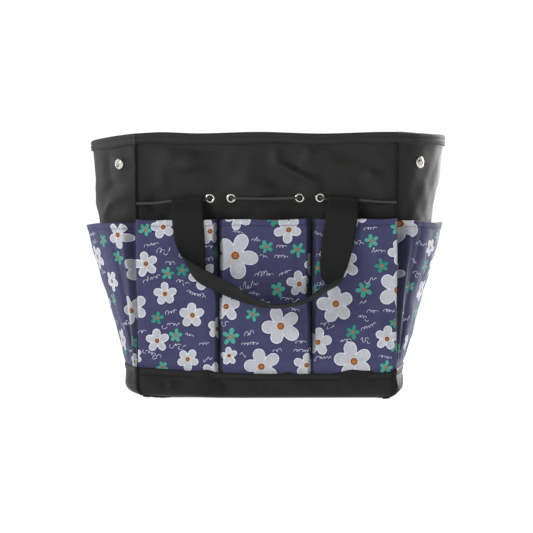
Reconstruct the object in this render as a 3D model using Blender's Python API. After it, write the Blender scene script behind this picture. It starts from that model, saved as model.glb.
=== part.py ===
# Garden tool tote: open-top fabric bag with eight outside pockets, two webbing handles,
# an elastic retaining cord on the front and back, and side gussets with press studs.
# Blender 4.5, metres, +Z up. Origin: centre of the base on the ground. The front faces -Y.
import math

import bmesh
import bpy
from mathutils import Matrix, Vector

for _o in list(bpy.data.objects):
    bpy.data.objects.remove(_o, do_unlink=True)

# ---------------------------------------------------------------- driving dimensions (metres)
H = 0.276                  # height over the rim binding
WALL = 0.0015              # body cloth with its backing
GAP = 0.0003               # clearance between touching pieces
HALF_W = (0.1325, 0.1355)  # half width of the front panel at the base and at the rim
HALF_D = (0.075, 0.069)    # half depth at the base and at the rim
# how far the gusset's middle stands out past the corners, by height
BULGE_AT = [(0.0, 0.0140), (0.033, 0.0152), (0.070, 0.0235), (0.105, 0.0314), (0.135, 0.0376), (0.162, 0.0419), (0.184, 0.0448), (H, 0.0546)]
WALL_Z0 = 0.0018           # the walls start just above the bottom cloth
WALL_Z1 = H - 0.0015       # and end under the binding
BAND_H = 0.030             # base band
BAND_T = 0.0009
BIND_H = 0.0110            # rim binding
BIND_T = 0.0009
POCKET_Z0, POCKET_Z1 = 0.0306, 0.184
POCKET_T = 0.0012
POCKET_D = (0.007, 0.014)  # pocket depth at its foot and at its mouth
# side pocket: how far it stands off the gusset, by height
SIDE_AT = [(POCKET_Z0, 0.0026), (0.070, 0.0033), (0.105, 0.0046), (0.135, 0.0078), (0.162, 0.0113), (0.181, 0.0123)]
DIVIDER_X = 0.048          # seams between the three pockets
VALLEY = (0.0010, 0.0035)  # half width of the pleat's valley at foot and mouth
CORD_R = 0.0013
CORD_Z = 0.205             # the cord where the handles fold over it
CORD_OFF = 0.0042          # and its distance in front of the panel there
EYELET_Z = 0.2075
EYELET_X = (-0.0585, -0.0365, 0.0345, 0.0555)
EYELET_R, EYELET_BORE, EYELET_BARREL, EYELET_HOLE = 0.0048, 0.0025, 0.0030, 0.0033
STRAP_W, STRAP_T, STRAP_X = 0.032, 0.0014, (-0.0815, 0.0790)
SNAP_R, SNAP_HOLE, SNAP_Z, SNAP_S = 0.0062, 0.0021, 0.2445, (0.775, 0.695)   # left gusset, right gusset
BOARD = (0.1290, 0.0645, 0.0025)   # half width, half depth, thickness of the base board


def lerp(pair, z):
    return pair[0] + (pair[1] - pair[0]) * z / H


def half_w(z):
    return lerp(HALF_W, z)


def half_d(z):
    return lerp(HALF_D, z)


def through(table, z):
    """A smooth curve through the (height, value) pairs of a table."""
    z = max(table[0][0], min(table[-1][0], z))
    k = max(i for i in range(len(table) - 1) if z >= table[i][0])

    def slope(i):
        a, b = table[max(0, i - 1)], table[min(len(table) - 1, i + 1)]
        return (b[1] - a[1]) / (b[0] - a[0])

    (z0, v0), (z1, v1) = table[k], table[k + 1]
    h = z1 - z0
    t = (z - z0) / h
    return (v0 * (1 + 2 * t) * (1 - t) ** 2 + slope(k) * h * t * (1 - t) ** 2
            + v1 * t * t * (3 - 2 * t) + slope(k + 1) * h * t * t * (t - 1))


def bulge(z):
    return through(BULGE_AT, z)


# ---------------------------------------------------------------- materials and object helpers
MATERIALS = {
    "black_cloth": ((0.030, 0.030, 0.029), 0.75, 0.0),
    "printed_cloth": ((0.075, 0.065, 0.155), 0.70, 0.0),
    "webbing": ((0.022, 0.022, 0.020), 0.85, 0.0),
    "nickel": ((0.75, 0.73, 0.68), 0.25, 1.0),
    "elastic": ((0.035, 0.034, 0.032), 0.8, 0.0),
    "board": ((0.045, 0.045, 0.047), 0.6, 0.0),
}


def material(name):
    mat = bpy.data.materials.get(name)
    if mat is None:
        mat = bpy.data.materials.new(name)
        mat.use_nodes = True
        shader = mat.node_tree.nodes["Principled BSDF"]
        colour, rough, metal = MATERIALS[name]
        shader.inputs["Base Color"].default_value = (*colour, 1.0)
        shader.inputs["Roughness"].default_value = rough
        shader.inputs["Metallic"].default_value = metal
    return mat


def finish_mesh(name, bm, mat, smooth=True):
    bmesh.ops.recalc_face_normals(bm, faces=bm.faces)
    mesh = bpy.data.meshes.new(name)
    bm.to_mesh(mesh)
    bm.free()
    if smooth:
        mesh.shade_smooth()
        mesh.set_sharp_from_angle(angle=math.radians(35))
    obj = bpy.data.objects.new(name, mesh)
    bpy.context.scene.collection.objects.link(obj)
    if mat:
        mesh.materials.append(material(mat))
    return obj


def loft(name, sections, mat, smooth=True):
    """A closed solid through closed polygons of equal length, capped at both ends."""
    bm = bmesh.new()
    rings = [[bm.verts.new(Vector(p)) for p in ring] for ring in sections]
    n = len(rings[0])
    for a, b in zip(rings[:-1], rings[1:]):
        for i in range(n):
            j = (i + 1) % n
            bm.faces.new((a[i], a[j], b[j], b[i]))
    bm.faces.new(rings[0])
    bm.faces.new(rings[-1])
    return finish_mesh(name, bm, mat, smooth)


def shell(name, outer, inner, rows, cols, mat):
    """A closed solid between two grids of points, outer(i, j) and inner(i, j)."""
    bm = bmesh.new()
    a = [[bm.verts.new(Vector(outer(i, j))) for j in range(cols + 1)] for i in range(rows + 1)]
    b = [[bm.verts.new(Vector(inner(i, j))) for j in range(cols + 1)] for i in range(rows + 1)]
    for i in range(rows):
        for j in range(cols):
            bm.faces.new((a[i][j], a[i][j + 1], a[i + 1][j + 1], a[i + 1][j]))
            bm.faces.new((b[i][j], b[i + 1][j], b[i + 1][j + 1], b[i][j + 1]))
    for i in range(rows):
        bm.faces.new((a[i][0], a[i + 1][0], b[i + 1][0], b[i][0]))
        bm.faces.new((a[i][cols], b[i][cols], b[i + 1][cols], a[i + 1][cols]))
    for j in range(cols):
        bm.faces.new((a[0][j], b[0][j], b[0][j + 1], a[0][j + 1]))
        bm.faces.new((a[rows][j], a[rows][j + 1], b[rows][j + 1], b[rows][j]))
    return finish_mesh(name, bm, mat)


def turned(name, profile, frame, mat, steps=20):
    """A solid of revolution. profile: closed loop of (radius, height) with radius > 0, or
    an open one from axis to axis. frame: matrix that places its +Z axis."""
    bm = bmesh.new()
    rings = []
    for r, h in profile:
        if r < 1e-7:
            rings.append([bm.verts.new((0, 0, h))])
        else:
            rings.append([bm.verts.new((r * math.cos(2 * math.pi * k / steps), r * math.sin(2 * math.pi * k / steps), h)) for k in range(steps)])
    closed = len(rings[0]) > 1
    pairs = list(zip(rings[:-1], rings[1:])) + ([(rings[-1], rings[0])] if closed else [])
    for a, b in pairs:
        for k in range(steps):
            m = (k + 1) % steps
            if len(a) == 1:
                bm.faces.new((a[0], b[m], b[k]))
            elif len(b) == 1:
                bm.faces.new((a[k], a[m], b[0]))
            else:
                bm.faces.new((a[k], a[m], b[m], b[k]))
    obj = finish_mesh(name, bm, mat)
    obj.matrix_world = frame
    return obj


def set_origin(obj, point):
    """Moves the object's origin to a point without moving its shape."""
    point = Vector(point)
    obj.data.transform(Matrix.Translation(-point))
    obj.location = point


def cut(obj, cutter):
    cutter.hide_render = True
    cutter.display_type = "WIRE"
    mod = obj.modifiers.new("cut_" + cutter.name, "BOOLEAN")
    mod.operation = "DIFFERENCE"
    mod.solver = "EXACT"
    mod.object = cutter


def post_cutter(name, frame, radius, half_length, steps=20):
    ring = [(radius * math.cos(2 * math.pi * k / steps), radius * math.sin(2 * math.pi * k / steps)) for k in range(steps)]
    return loft(name, [[frame @ Vector((x, y, -half_length)) for x, y in ring],
                       [frame @ Vector((x, y, half_length)) for x, y in ring]], None, smooth=False)


# ---------------------------------------------------------------- front and back panels
LEAN = math.atan((HALF_D[0] - HALF_D[1]) / H)   # each panel leans in towards the rim


def on_panel(side, x, z, off):
    """A point off metres outside the front (side -1) or back (side +1) panel's outer face."""
    y = half_d(z) + off * math.cos(LEAN)
    return Vector((x, side * y, z + off * math.sin(LEAN)))


def panel_frame(side, x, z):
    """Matrix at a point of the outer face: its Z axis points out, its X axis up the panel."""
    out = Vector((0, side * math.cos(LEAN), math.sin(LEAN)))
    up = Vector((0, -side * math.sin(LEAN), math.cos(LEAN)))
    across = out.cross(up)
    m = Matrix((up, across, out)).transposed().to_4x4()
    m.translation = on_panel(side, x, z, 0)
    return m


def make_panel(name, side):
    zs = (WALL_Z0, WALL_Z1)

    def outer(i, j):
        z = zs[i]
        return (half_w(z) * (2 * j - 1), side * half_d(z), z)

    def inner(i, j):
        z = zs[i]
        return (half_w(z) * (2 * j - 1), side * (half_d(z) - WALL), z)

    obj = shell(name, outer, inner, 1, 1, "black_cloth")
    for k, x in enumerate(EYELET_X):
        cut(obj, post_cutter(f"cutter_{name}_{k}", panel_frame(side, -side * x, EYELET_Z), EYELET_HOLE, 0.006))
    return obj


# ---------------------------------------------------------------- side gussets
def gusset_point(side, s, z, off=0.0, reach=None):
    """Plan curve of a gusset: s runs -1 (front) to +1 (back); off metres outside its outer face."""
    yg = (half_d(z) - WALL - GAP) if reach is None else reach(z)
    b = bulge(z)
    nx, ny = 1.0, 2 * b * s / yg
    n = math.hypot(nx, ny)
    x = half_w(z) + b * (1 - s * s) + off * nx / n
    return Vector((side * x, s * yg + off * ny / n, z))


def gusset_frame(side, s, z):
    p = gusset_point(side, s, z)
    du = gusset_point(side, s + 0.01, z) - gusset_point(side, s - 0.01, z)
    dv = gusset_point(side, s, z + 0.004) - gusset_point(side, s, z - 0.004)
    out = du.cross(dv).normalized()
    if out.x * side < 0:
        out = -out
    up = (dv - out * dv.dot(out)).normalized()
    m = Matrix((up, out.cross(up), out)).transposed().to_4x4()
    m.translation = p
    return m


# The gussets, their bands, bindings and pockets share one grid, so that their facets lie parallel.
GRID_Z = [WALL_Z0, BAND_H, 0.0505, 0.071, 0.091, 0.1115, 0.132, 0.1525, 0.167, 0.181, 0.2085, 0.235, H - BIND_H, WALL_Z1]
GRID_N = 16


def grid_s(s_max=1.0):
    return [max(-s_max, min(s_max, -1 + 2 * j / GRID_N)) for j in range(GRID_N + 1)]


def make_gusset(name, side):
    ss = grid_s()
    obj = shell(name, lambda i, j: gusset_point(side, ss[j], GRID_Z[i]),
                lambda i, j: gusset_point(side, ss[j], GRID_Z[i], -WALL), len(GRID_Z) - 1, GRID_N, "black_cloth")
    snap_s = SNAP_S[0] if side < 0 else SNAP_S[1]
    for k, s in enumerate((-snap_s, snap_s)):
        cut(obj, post_cutter(f"cutter_{name}_{k}", gusset_frame(side, s, SNAP_Z), SNAP_HOLE, 0.006, 12))
    return obj


front_panel = make_panel("front_panel", -1)
back_panel = make_panel("back_panel", 1)
left_gusset = make_gusset("left_gusset", -1)
right_gusset = make_gusset("right_gusset", 1)


# ---------------------------------------------------------------- base: bottom cloth, loose board, bands
def base_outline(z, off, steps=14):
    """Plan outline at height z, off metres outside the walls, with rounded corners."""
    pts = []
    for side in (1, -1):
        arc = [gusset_point(side, s * side, z, off, reach=half_d) for s in [-0.90 + 1.80 * k / steps for k in range(steps + 1)]]
        corner0 = Vector((side * (half_w(z) + off * 0.4), -side * (half_d(z) + off), z))
        corner1 = Vector((side * (half_w(z) + off * 0.4), side * (half_d(z) + off), z))
        pts += [corner0 + Vector((-side * 0.008, 0, 0)), corner0 + Vector((-side * 0.0015, side * 0.0018, 0))]
        pts += arc
        pts += [corner1 + Vector((-side * 0.0015, -side * 0.0018, 0)), corner1 + Vector((-side * 0.008, 0, 0))]
    return pts


def flat_outline(off, z):
    ring = base_outline(0.0, off)
    return [Vector((p.x, p.y, z)) for p in ring]


loft("base_panel", [flat_outline(-0.0012, 0.0), flat_outline(-0.0002, 0.0006), flat_outline(-0.0002, 0.0015)], "black_cloth")


def rounded_plate(hw, hd, r, z, steps=4):
    pts = []
    for cx, cy, a0 in ((hw - r, hd - r, 0), (-hw + r, hd - r, 90), (-hw + r, -hd + r, 180), (hw - r, -hd + r, 270)):
        for k in range(steps + 1):
            a = math.radians(a0 + 90 * k / steps)
            pts.append(Vector((cx + r * math.cos(a), cy + r * math.sin(a), z)))
    return pts


set_origin(loft("base_board", [rounded_plate(BOARD[0], BOARD[1], 0.012, 0.0018), rounded_plate(BOARD[0], BOARD[1], 0.012, 0.0018 + BOARD[2])], "board"), (0, 0, 0.0018 + BOARD[2] / 2))


def make_front_band(name, side):
    zs = (WALL_Z0, BAND_H)

    def pt(i, j, off):
        z = zs[i]
        x = (half_w(z) + GAP + BAND_T) * (2 * j - 1)
        return (x, side * (half_d(z) + off), z)

    return shell(name, lambda i, j: pt(i, j, GAP + BAND_T), lambda i, j: pt(i, j, GAP), 1, 1, "black_cloth")


def make_side_band(name, side):
    zs = (WALL_Z0, BAND_H)
    ss = grid_s(0.985)

    def pt(i, j, off):
        return gusset_point(side, ss[j], zs[i], off)

    return shell(name, lambda i, j: pt(i, j, GAP + BAND_T), lambda i, j: pt(i, j, GAP), 1, GRID_N, "black_cloth")


make_front_band("base_band_front", -1)
make_front_band("base_band_back", 1)
make_side_band("base_band_left", -1)
make_side_band("base_band_right", 1)


# ---------------------------------------------------------------- rim binding, folded over the raw edge
def u_section(low, high, inner0, outer0, t):
    """(offset, height) loop of a tape folded over a wall whose faces lie at inner0 and outer0."""
    return [(outer0 + t, low), (outer0 + t, high), (inner0 - t, high), (inner0 - t, low),
            (inner0, low), (inner0, high - 0.0012), (outer0, high - 0.0012), (outer0, low)]


BIND = u_section(H - BIND_H, H, -WALL - GAP, GAP, BIND_T)


def make_front_binding(name, side):
    half = half_w(H) - 0.0045
    loft(name, [[on_panel(side, x, z, o) - Vector((0, 0, o * math.sin(LEAN))) for o, z in BIND] for x in (-half, half)], "black_cloth")


def make_side_binding(name, side):
    loft(name, [[gusset_point(side, s, z, o) for o, z in BIND] for s in grid_s(0.965)], "black_cloth")


make_front_binding("rim_binding_front", -1)
make_front_binding("rim_binding_back", 1)
make_side_binding("rim_binding_left", -1)
make_side_binding("rim_binding_right", 1)


# ---------------------------------------------------------------- pleated pockets, three in front and three behind
def pocket_mix(pair, z):
    t = (z - POCKET_Z0) / (POCKET_Z1 - POCKET_Z0)
    return pair[0] + (pair[1] - pair[0]) * max(0.0, min(1.0, t))


def make_flat_pocket(name, side, x0, x1, end0, end1):
    """end0/end1: True where that side is the bag's corner and has no valley."""

    def ring(z, inset, back):
        d = pocket_mix(POCKET_D, z) - inset
        v = pocket_mix(VALLEY, z)
        foot0, foot1 = x0 + 0.0006, x1 - 0.0006
        face0, face1 = x0 + (0.0016 if end0 else v), x1 - (0.0016 if end1 else v)
        foot0, face0, foot1, face1 = foot0 + inset, face0 + inset, foot1 - inset, face1 - inset
        soft = min(0.0016, 0.4 * d)
        base = back
        pts = [(foot0, base), (face0 - (face0 - foot0) * 0.15, d - soft), (face0 + soft, d),
               (face1 - soft, d), (face1 + (foot1 - face1) * 0.15, d - soft), (foot1, base)]
        return [on_panel(side, x, z, o) for x, o in pts]

    zs = (POCKET_Z0, 0.5 * (POCKET_Z0 + POCKET_Z1), POCKET_Z1)
    obj = loft(name, [ring(z, 0.0, GAP) for z in zs], "printed_cloth")
    zc = (POCKET_Z0 + POCKET_T, 0.5 * (POCKET_Z0 + POCKET_Z1), POCKET_Z1 + 0.004)
    cut(obj, loft("cutter_" + name, [ring(z, POCKET_T, -0.002) for z in zc], None, smooth=False))
    return obj


EDGE_X = 0.1320
for tag, side in (("front", -1), ("back", 1)):
    make_flat_pocket(f"{tag}_pocket_left", side, -EDGE_X, -DIVIDER_X, True, False)
    make_flat_pocket(f"{tag}_pocket_centre", side, -DIVIDER_X, DIVIDER_X, False, False)
    make_flat_pocket(f"{tag}_pocket_right", side, DIVIDER_X, EDGE_X, False, True)


# ---------------------------------------------------------------- side pockets over the gussets
def make_side_pocket(name, side):
    def ring(z, inset, back, s_max):
        d = through(SIDE_AT, z) - inset
        ss = grid_s(s_max)
        outer = [gusset_point(side, s, z, d * min(1.0, (1 - (abs(s) / s_max) ** 10) + (0.35 if abs(s) > s_max - 1e-6 else 0))) for s in ss]
        inner = [gusset_point(side, s, z, back) for s in reversed(ss)]
        return outer + inner

    zs = [POCKET_Z0, *GRID_Z[2:10]]
    obj = loft(name, [ring(z, 0.0, GAP, 0.97) for z in zs], "printed_cloth")
    zc = [POCKET_Z0 + POCKET_T] + zs[1:-1] + [POCKET_Z1 + 0.004]
    cut(obj, loft("cutter_" + name, [ring(z, POCKET_T, -0.003, 0.95) for z in zc], None, smooth=False))
    return obj


make_side_pocket("side_pocket_left", -1)
make_side_pocket("side_pocket_right", 1)


# ---------------------------------------------------------------- eyelets and their washers
FLANGE = [(EYELET_BORE, -0.0026), (EYELET_BARREL, -0.0026), (EYELET_BARREL, GAP), (EYELET_R, GAP),
          (EYELET_R, GAP + 0.00030), (0.0040, GAP + 0.00070), (0.0029, GAP + 0.00055)]
WASHER = [(0.0034, -WALL - GAP - 0.0006), (0.0051, -WALL - GAP - 0.0006), (0.0051, -WALL - GAP), (0.0034, -WALL - GAP)]
for tag, side in (("front", -1), ("back", 1)):
    for k, x in enumerate(EYELET_X, start=1):
        turned(f"{tag}_eyelet_{k}", FLANGE, panel_frame(side, -side * x, EYELET_Z), "nickel", 14)
        turned(f"{tag}_eyelet_washer_{k}", WASHER, panel_frame(side, -side * x, EYELET_Z), "nickel", 12)

# ---------------------------------------------------------------- press studs on the gussets
STUD = [(0, 0.0021), (0.0010, 0.0021), (0.0010, 0.0031), (0.0026, 0.0031), (0.0030, 0.0026), (0.0029, 0.0012),
        (0.0052, 0.0012), (SNAP_R, 0.0009), (SNAP_R, GAP), (0, GAP)]
SOCKET = [(0, 0.0008), (0.0032, 0.0008), (0.0033, 0.0022), (0.0040, 0.0026), (0.0052, 0.0024), (0.0060, 0.0014), (SNAP_R, 0.0009), (SNAP_R, GAP), (0, GAP)]
CAP = [(0, -GAP), (0.0018, -GAP), (0.0018, -WALL - GAP), (SNAP_R, -WALL - GAP), (0.0055, -WALL - GAP - 0.0010), (0, -WALL - GAP - 0.0015)]
for tag, side, snap_s in (("left", -1, SNAP_S[0]), ("right", 1, SNAP_S[1])):
    for half, s in (("front", -snap_s), ("back", snap_s)):
        is_stud = (tag == "right") == (half == "front")
        kind = "stud" if is_stud else "socket"
        turned(f"{tag}_snap_{kind}", STUD if is_stud else SOCKET, gusset_frame(side, s, SNAP_Z), "nickel", 16)
        turned(f"{tag}_snap_{kind}_cap", CAP, gusset_frame(side, s, SNAP_Z), "nickel", 12)


# ---------------------------------------------------------------- elastic cord, threaded through four eyelets
def cord_points(side):
    """From one corner seam, over the handle's fold, through the eyelets and out to the other seam."""
    low = CORD_R + GAP + 0.0007                                  # the cord lies close to the panel
    inn = -(WALL + GAP + 0.0006 + GAP + CORD_R + 0.0002)         # and runs behind it between two eyelets
    r = 0.0030
    end = half_w(CORD_Z) - 0.0006
    path = [(-end, 0.2025, low), (-0.112, 0.2032, low + 0.0006), (STRAP_X[0] - 0.018, CORD_Z - 0.0005, CORD_OFF),
            (STRAP_X[0], CORD_Z, CORD_OFF), (STRAP_X[0] + 0.0155, CORD_Z + 0.0005, CORD_OFF)]

    def bend(x, a, b):
        """Through the eyelet at x, from offset a to offset b, travelling towards +X."""
        sign = 1 if b > a else -1
        for k in range(4):
            t = math.pi / 2 * k / 3
            path.append((x - r + r * math.sin(t), EYELET_Z, a + sign * r * (1 - math.cos(t))))
        for k in range(4):
            t = math.pi / 2 * k / 3
            path.append((x + r - r * math.cos(t), EYELET_Z, b - sign * r * (1 - math.sin(t))))

    bend(EYELET_X[0], low, inn)
    bend(EYELET_X[1], inn, low)
    path.append((-0.001, EYELET_Z - 0.0008, low))
    bend(EYELET_X[2], low, inn)
    bend(EYELET_X[3], inn, low)
    path += [(STRAP_X[1] - 0.0155, CORD_Z + 0.0005, CORD_OFF), (STRAP_X[1], CORD_Z, CORD_OFF), (STRAP_X[1] + 0.018, CORD_Z - 0.0005, CORD_OFF),
             (0.112, 0.2032, low + 0.0006), (end, 0.2025, low)]
    return [on_panel(side, -side * x, z, o) for x, z, o in path]


def make_cord(name, side):
    pts = cord_points(side)
    curve = bpy.data.curves.new(name, "CURVE")
    curve.dimensions = "3D"
    curve.bevel_depth = CORD_R
    curve.bevel_resolution = 2
    curve.use_fill_caps = True
    spline = curve.splines.new("POLY")
    spline.points.add(len(pts) - 1)
    for p, co in zip(spline.points, pts):
        p.co = (*co, 1.0)
    obj = bpy.data.objects.new(name, curve)
    curve.materials.append(material("elastic"))
    bpy.context.scene.collection.objects.link(obj)
    return obj


make_cord("front_elastic_cord", -1)
make_cord("back_elastic_cord", 1)


# ---------------------------------------------------------------- handle straps
# Sewn end of each strap: flat on the panel, from inside the pocket up to just under the cord.
TAB_Z0, TAB_Z1 = 0.150, CORD_Z - 0.0046
for tag, side in (("front", -1), ("back", 1)):
    for hand, x in (("left", STRAP_X[0] if side < 0 else -STRAP_X[1]), ("right", STRAP_X[1] if side < 0 else -STRAP_X[0])):
        loft(f"{tag}_handle_tab_{hand}", [
            [on_panel(side, x + dx * STRAP_W / 2, z, o) for dx, o in ((-1, GAP), (1, GAP), (1, GAP + STRAP_T), (-1, GAP + STRAP_T))]
            for z in (TAB_Z0, TAB_Z1)], "webbing", smooth=False)

# The free loop, hanging in front of the pockets. Stations: x, z of the strap's middle line and its
# twist in degrees: -90 faces front, 0 is edge-on, and positive shows the other face.
STATIONS = [
    (STRAP_X[0], 0.1950, -90), (-0.0812, 0.1820, -89), (-0.0795, 0.1680, -76), (-0.0760, 0.1550, -55), (-0.0705, 0.1430, -27),
    (-0.0630, 0.1330, 6), (-0.0530, 0.1250, 30), (-0.0410, 0.1185, 36), (-0.0270, 0.1110, 29), (-0.0120, 0.1030, 20),
    (0.0040, 0.0972, 12), (0.0190, 0.0958, 9), (0.0330, 0.0988, 10), (0.0450, 0.1050, 13), (0.0555, 0.1130, 14),
    (0.0640, 0.1225, 2), (0.0700, 0.1335, -24), (0.0740, 0.1460, -50), (0.0768, 0.1590, -72), (0.0782, 0.1720, -86),
    (0.0788, 0.1840, -89), (STRAP_X[1], 0.1950, -90),
]


def rest_face(z):
    """How far in front of the middle plane the hanging strap's back edge lies at height z."""
    return half_d(z) + pocket_mix(POCKET_D, z) + 0.0019


def catmull(values, t):
    i = min(int(t), len(values) - 2)
    u = t - i
    p = [values[max(0, min(len(values) - 1, k))] for k in (i - 1, i, i + 1, i + 2)]
    return 0.5 * (2 * p[1] + (p[2] - p[0]) * u + (2 * p[0] - 5 * p[1] + 4 * p[2] - p[3]) * u * u + (3 * p[1] - p[0] - 3 * p[2] + p[3]) * u ** 3)


def strap_line(samples_per=2):
    """[(point, twist)] of the front strap's hanging part, in the bag's frame (front at -Y)."""
    out = []
    n = (len(STATIONS) - 1) * samples_per
    for k in range(n + 1):
        t = k / samples_per
        x, z, a = (catmull([s[m] for s in STATIONS], min(t, len(STATIONS) - 1 - 1e-9)) for m in range(3))
        a = math.radians(max(-90, min(90, a)))
        lift = max(0.0, min(1.0, (z - 0.181) / (0.195 - 0.181)))      # the legs run in to the fold above the pockets
        y = -(rest_face(z) + (STRAP_W / 2) * math.cos(a)) + 0.0062 * lift * lift
        out.append((Vector((x, y, z)), a))
    return out


FOLD_STEPS = 6
CORD_AXIS = on_panel(-1, 0.0, CORD_Z, CORD_OFF)   # the fold turns about the cord
FOLD_R = CORD_R + 0.0011 + STRAP_T / 2


def strap_sections():
    line = strap_line()
    sections = []

    def flat(x, y, z, ny, nz, outer):
        """One section that faces along (ny, nz); outer is the x direction of the loop's outside."""
        rows = []
        for w, t in ((-1, -1), (1, -1), (1, 1), (-1, 1)):
            rows.append(Vector((x + outer * -w * STRAP_W / 2, y + ny * t * STRAP_T / 2, z + nz * t * STRAP_T / 2)))
        return rows

    def fold(x, outer):
        rows = []
        for k in range(FOLD_STEPS):
            ang = math.radians(30 + 30 * k)      # from behind the cord, over it and round to its front
            rows.append(flat(x, CORD_AXIS.y + FOLD_R * math.cos(ang), CORD_AXIS.z + FOLD_R * math.sin(ang), math.cos(ang), math.sin(ang), outer))
        return rows

    sections += fold(line[0][0].x, -1)
    pts = [p for p, _ in line]
    for k, (p, a) in enumerate(line):
        q0, q1 = pts[max(0, k - 1)], pts[min(len(pts) - 1, k + 1)]
        t = (q1 - q0)
        flat_t = Vector((t.x, 0, t.z)).normalized()
        t = t.normalized()
        low = Vector((flat_t.z, 0, -flat_t.x))
        w = Vector((0, 1, 0)) * math.cos(a) + low * math.sin(a)
        w = (w - t * w.dot(t)).normalized()          # from the outer edge to the inner edge
        n = t.cross(w)
        sections.append([p + w * (wi * STRAP_W / 2) + n * (ti * STRAP_T / 2) for wi, ti in ((-1, -1), (1, -1), (1, 1), (-1, 1))])
    sections += list(reversed(fold(line[-1][0].x, 1)))
    return sections


def make_strap(name, turn):
    spin = Matrix.Rotation(math.radians(180), 4, "Z") if turn else Matrix.Identity(4)
    return loft(name, [[spin @ p for p in ring] for ring in fixed_sections()], "webbing")


def fixed_sections():
    """The folds' corner order brought in line with the hanging part's, so the skin doesn't twist."""
    sections = strap_sections()

    def match(ring, near):
        best = min(((sum((ring[(i * d + o) % 4] - near[i]).length for i in range(4)), d, o) for d in (1, -1) for o in range(4)))
        return [ring[(i * best[1] + best[2]) % 4] for i in range(4)]

    for k in range(FOLD_STEPS - 1, -1, -1):
        sections[k] = match(sections[k], sections[k + 1])
    for k in range(len(sections) - FOLD_STEPS, len(sections)):
        sections[k] = match(sections[k], sections[k - 1])
    return sections


set_origin(make_strap("front_handle_strap", False), CORD_AXIS)
set_origin(make_strap("back_handle_strap", True), (0, -CORD_AXIS.y, CORD_AXIS.z))
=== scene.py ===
"""Garden tool tote: the looks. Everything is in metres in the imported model's frame (front at -Y, +Z up)."""
import math

import bpy
import numpy as np
from mathutils import Matrix, Vector


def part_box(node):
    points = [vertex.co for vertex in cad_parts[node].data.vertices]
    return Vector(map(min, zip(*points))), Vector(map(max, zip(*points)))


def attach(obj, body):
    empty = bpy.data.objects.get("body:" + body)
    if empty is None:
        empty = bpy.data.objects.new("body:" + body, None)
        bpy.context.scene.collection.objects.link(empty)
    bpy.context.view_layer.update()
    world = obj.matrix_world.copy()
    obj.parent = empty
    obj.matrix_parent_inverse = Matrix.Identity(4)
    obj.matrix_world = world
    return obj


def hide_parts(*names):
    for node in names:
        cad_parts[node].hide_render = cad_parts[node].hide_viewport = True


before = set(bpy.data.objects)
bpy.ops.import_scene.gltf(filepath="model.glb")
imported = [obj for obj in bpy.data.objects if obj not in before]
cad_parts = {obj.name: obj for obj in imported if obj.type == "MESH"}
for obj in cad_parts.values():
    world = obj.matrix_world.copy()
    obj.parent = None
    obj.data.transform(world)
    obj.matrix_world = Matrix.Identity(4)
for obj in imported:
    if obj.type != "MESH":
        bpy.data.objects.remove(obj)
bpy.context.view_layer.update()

MM = 0.001
H = 0.276
PI = math.pi

# ------------------------------------------------------------------ shape of the bag, as designed
BULGE_AT = [(0.0, 0.0140), (0.033, 0.0152), (0.070, 0.0235), (0.105, 0.0314), (0.135, 0.0376), (0.162, 0.0419), (0.184, 0.0448), (H, 0.0546)]
SIDE_AT = [(0.0306, 0.0026), (0.070, 0.0033), (0.105, 0.0046), (0.135, 0.0078), (0.162, 0.0113), (0.184, 0.0124)]
WALL = 0.0015
POCKET_Z0, POCKET_Z1 = 0.0306, 0.184
EYELET_X = (-0.0585, -0.0365, 0.0345, 0.0555)
EYELET_Z = 0.2075
STRAP_X = (-0.0815, 0.0790)
STRAP_W, STRAP_T = 0.032, 0.0014
SNAP_Z, SNAP_S = 0.2445, (0.782, 0.678)
CORD_Z, CORD_OFF, CORD_R = 0.205, 0.0042, 0.0013
FOLD_R = CORD_R + 0.0011 + STRAP_T / 2


def half_w(z):
    return 0.1325 + 0.0030 * z / H


def half_d(z):
    return 0.075 - 0.006 * z / H


def through(table, z):
    """Smooth curve through (height, value) pairs, on arrays."""
    t = np.array(table)
    z = np.clip(np.asarray(z, float), t[0, 0], t[-1, 0])
    k = np.clip(np.searchsorted(t[:, 0], z, side="right") - 1, 0, len(t) - 2)
    sl = np.empty(len(t))
    sl[1:-1] = (t[2:, 1] - t[:-2, 1]) / (t[2:, 0] - t[:-2, 0])
    sl[0] = (t[1, 1] - t[0, 1]) / (t[1, 0] - t[0, 0])
    sl[-1] = (t[-1, 1] - t[-2, 1]) / (t[-1, 0] - t[-2, 0])
    h = t[k + 1, 0] - t[k, 0]
    u = (z - t[k, 0]) / h
    return (t[k, 1] * (1 + 2 * u) * (1 - u) ** 2 + sl[k] * h * u * (1 - u) ** 2
            + t[k + 1, 1] * u * u * (3 - 2 * u) + sl[k + 1] * h * u * u * (u - 1))


def smooth(e0, e1, x):
    t = np.clip((np.asarray(x, float) - e0) / (e1 - e0), 0, 1)
    return t * t * (3 - 2 * t)


def ripple(u, v, seed, waves=((60, 1.0), (33, 0.5), (19, 0.25)), count=5):
    """Smooth irregular field of about unit size; u, v in mm."""
    rng = np.random.default_rng(seed)
    out = np.zeros(np.broadcast(u, v).shape)
    for wl, amp in waves:
        for _ in range(count):
            a = rng.uniform(0, 2 * PI)
            k = 2 * PI / (wl * rng.uniform(0.75, 1.35))
            out = out + amp * np.sin(k * (np.cos(a) * u + np.sin(a) * v) + rng.uniform(0, 2 * PI)) / math.sqrt(count)
    return out


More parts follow.
